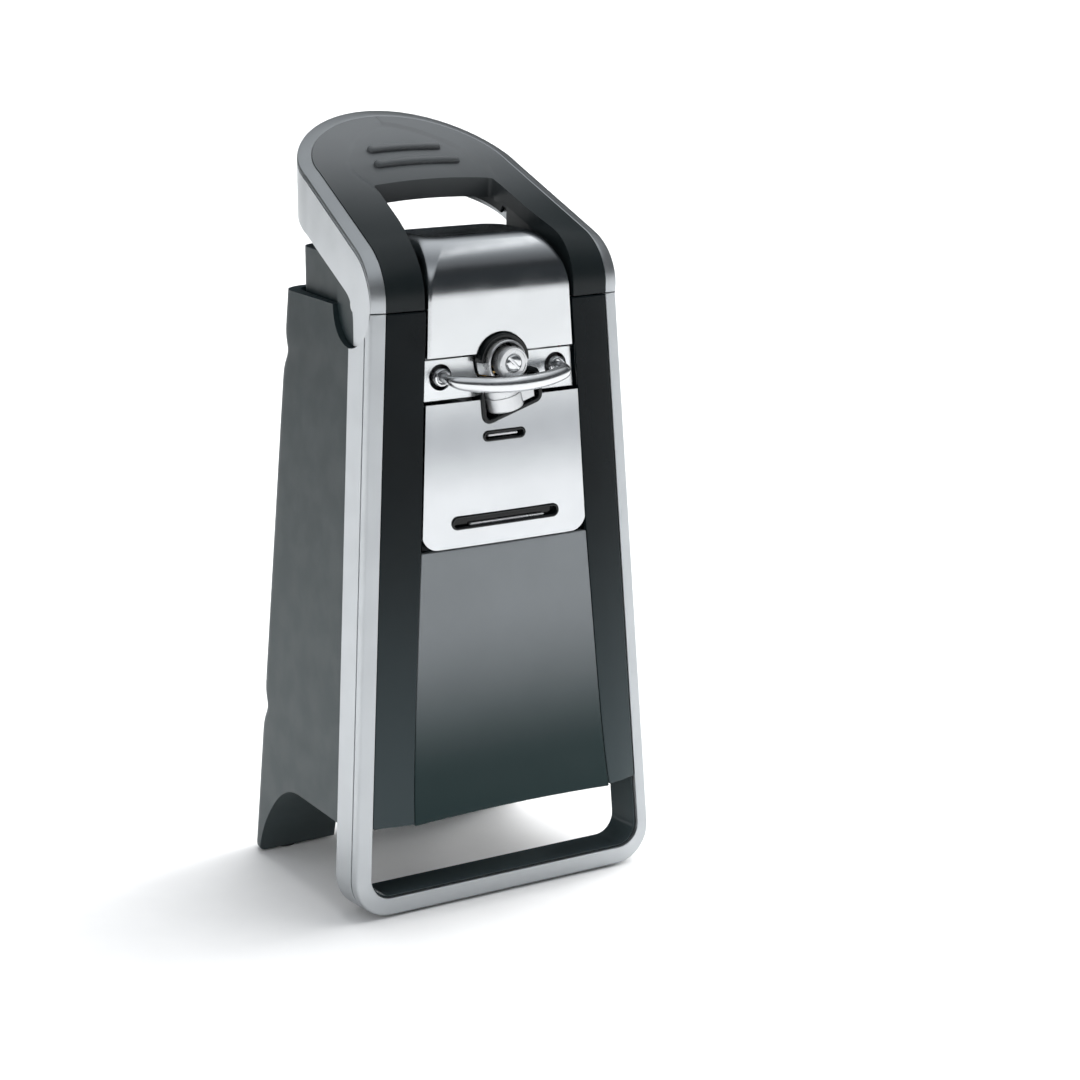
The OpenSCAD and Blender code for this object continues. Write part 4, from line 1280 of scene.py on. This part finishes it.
def drive_wheel():
    """A dished disc with a finely toothed rim behind it."""
    face = [(-1, 5.0), (3, 5.0), (3.0, 5.6), (3.2, 5.85), (3.5, 5.95), (4.9, 5.95), (5.2, 5.8),
            (5.35, 5.5), (5.3, 5.1), (5.1, 4.9), (5.1, 3.5), (4.7, 3.3), (4.6, 1.65), (2.0, 1.65),
            (2, 3.0), (-1, 3.0)]
    obj = lathe("wheel", at(0, 0, DRIVE.z), (0, -1, 0), face, 96, True)
    teeth = 48
    outline = []
    for k in range(teeth):
        for turn, r in ((-0.3, 5.0), (-0.1, 5.6), (0.1, 5.6), (0.3, 5.0)):
            a = math.tau * (k + turn) / teeth
            outline.append((r * math.cos(a), DRIVE.z + r * math.sin(a)))
    ring = along_y(outline, -3.4, 0.9)
    cut(ring, lathe("tool", at(0, -9, DRIVE.z), (0, 1, 0), [(0, 4.6), (20, 4.6)], 48))
    add(obj, ring)
    return finish(shade(obj, 30), "steel_drive_wheel", "drive", "bright_steel", "drive_wheel")


def drive_screw():
    head = lathe("screw", at(0, 0, DRIVE.z), (0, -1, 0),
                 [(2.1, 1.55), (4.65, 1.6), (4.7, 3.1), (5.3, 3.15), (5.9, 2.75), (6.2, 1.8), (6.3, 0)], 48)
    s = math.sqrt(0.5)
    long, short = 3.6, 0.5
    slot = [(-long, -short), (long, -short), (long, short), (-long, short)]
    cut(head, along_y([(a * s + b * s, DRIVE.z - a * s + b * s) for a, b in slot], -8, -5.3))
    soften(head, 0.08, 2)
    return finish(shade(head, 35), "drive_wheel_screw", "drive", "bright_steel", "drive_screw",
                  finish_as="chrome")


def cutting_wheel():
    joint = JOINTS["cutter_spin"]
    profile = [(-1.3, 2.3), (-3.0, 2.3), (-3.0, 5.6), (-2.7, 6.35), (-2.2, 6.7), (2.45, 6.7), (2.6, 6.2),
               (2.95, 6.2), (3.1, 6.7), (5.5, 6.7), (6.0, 6.25), (6.0, 2.3)]
    obj = lathe("cutter", Vector(joint["pos_m"]), joint["axis"], profile, 96, True)
    return finish(shade(obj, 30), "steel_cutting_wheel", "cutter", "bright_steel", "cutting_wheel")


# ---------------------------------------------------------------- assembly

def dress_cad_nodes():
    """Gives the CAD nodes that still show their own finish."""
    for part in frame["record"]["subparts"]:
        obj = frame["nodes"][part["node"]]
        obj.data.materials.clear()
        obj.data.materials.append(MATERIALS[part["material_slot"]])


def build():
    dress_cad_nodes()
    for make in (trim_frame, bezel, lower_panel, face_plate, slot_trims, strip, pocket, drive_surround,
                 hood, rear_housing, rear_cover, back_screws, feet, lever_band, lever_cover, lever_skirt,
                 band_lining, guide_loop, drive_wheel, drive_screw, cutting_wheel):
        make()


# ---------------------------------------------------------------- stage

FLOOR_HALF = 30.0
DARK_WALL = (0.035, 0.04, 0.045)
PALE_CEILING = (0.72, 0.75, 0.78)
WALL_END, CEILING_START = 0.5, 0.82


def floor():
    """A plain pale floor."""
    bm = bmesh.new()
    bmesh.ops.create_grid(bm, x_segments=4, y_segments=4, size=FLOOR_HALF)
    mesh = bpy.data.meshes.new("floor")
    bm.to_mesh(mesh)
    bm.free()
    obj = bpy.data.objects.new("floor", mesh)
    bpy.context.scene.collection.objects.link(obj)
    mesh.materials.append(material("floor", (0.86, 0.86, 0.86), 0.7, spread=0.01, uneven=0.02, specular=0.2))


def studio():
    """Surroundings that are dark around and pale above."""
    world = bpy.data.worlds.new("studio")
    bpy.context.scene.world = world
    world.use_nodes = True
    tree = world.node_tree
    place = node(tree, "ShaderNodeTexCoord")
    split = node(tree, "ShaderNodeSeparateXYZ")
    tree.links.new(place.outputs["Generated"], split.inputs["Vector"])
    share = remap(tree, split.outputs["Z"], 0, 1, WALL_END, CEILING_START)
    tree.links.new(mix(tree, share, DARK_WALL, PALE_CEILING), tree.nodes["Background"].inputs["Color"])


def soft_sun(name, direction, energy, spread):
    """A wide far light that lights surfaces but isn't mirrored in them."""
    data = bpy.data.lights.new(name, "SUN")
    data.energy = energy
    data.angle = math.radians(spread)
    obj = bpy.data.objects.new(name, data)
    bpy.context.scene.collection.objects.link(obj)
    obj.rotation_euler = Vector(direction).to_track_quat("Z", "Y").to_euler()
    obj.visible_glossy = False


def strip_light(name, aim, direction, distance, length, height, energy):
    """A long narrow softbox, mirrored as a bright line in the hood's shoulder."""
    data = bpy.data.lights.new(name, "AREA")
    data.shape = "RECTANGLE"
    data.size = length
    data.size_y = height
    data.energy = energy
    obj = bpy.data.objects.new(name, data)
    bpy.context.scene.collection.objects.link(obj)
    away = Vector(direction).normalized()
    obj.location = aim + away * distance
    obj.rotation_euler = away.to_track_quat("Z", "Y").to_euler()


def lights():
    soft_sun("ceiling_light", (0.45, 0.15, 0.88), 3.3, 62)
    soft_sun("low_right_light", (0.95, 0.1, 0.3), 3.0, 30)
    soft_sun("low_left_light", (-0.85, -0.4, 0.32), 1.2, 40)
    strip_light("hood_light", at(0, 40, 245), (0.525, -0.1, 0.83), 1.0, 0.9, 0.06, 0.22)


def camera():
    """The main view, from the left front and slightly above."""
    azimuth, elevation = math.radians(-32.709), math.radians(13.5615)
    distance = 0.99749
    target = Vector((0.014431, -0.0435, 0.133711))
    away = Vector((math.sin(azimuth) * math.cos(elevation), -math.cos(azimuth) * math.cos(elevation),
                   math.sin(elevation)))
    data = bpy.data.cameras.new("camera")
    data.lens = 90.71
    data.sensor_width = 36
    obj = bpy.data.objects.new("camera", data)
    bpy.context.scene.collection.objects.link(obj)
    obj.location = target + away * distance
    obj.rotation_euler = (-away).to_track_quat("-Z", "Y").to_euler()
    bpy.context.scene.camera = obj


camera()
build()
floor()
studio()
lights()
bpy.context.scene.view_settings.view_transform = "Standard"
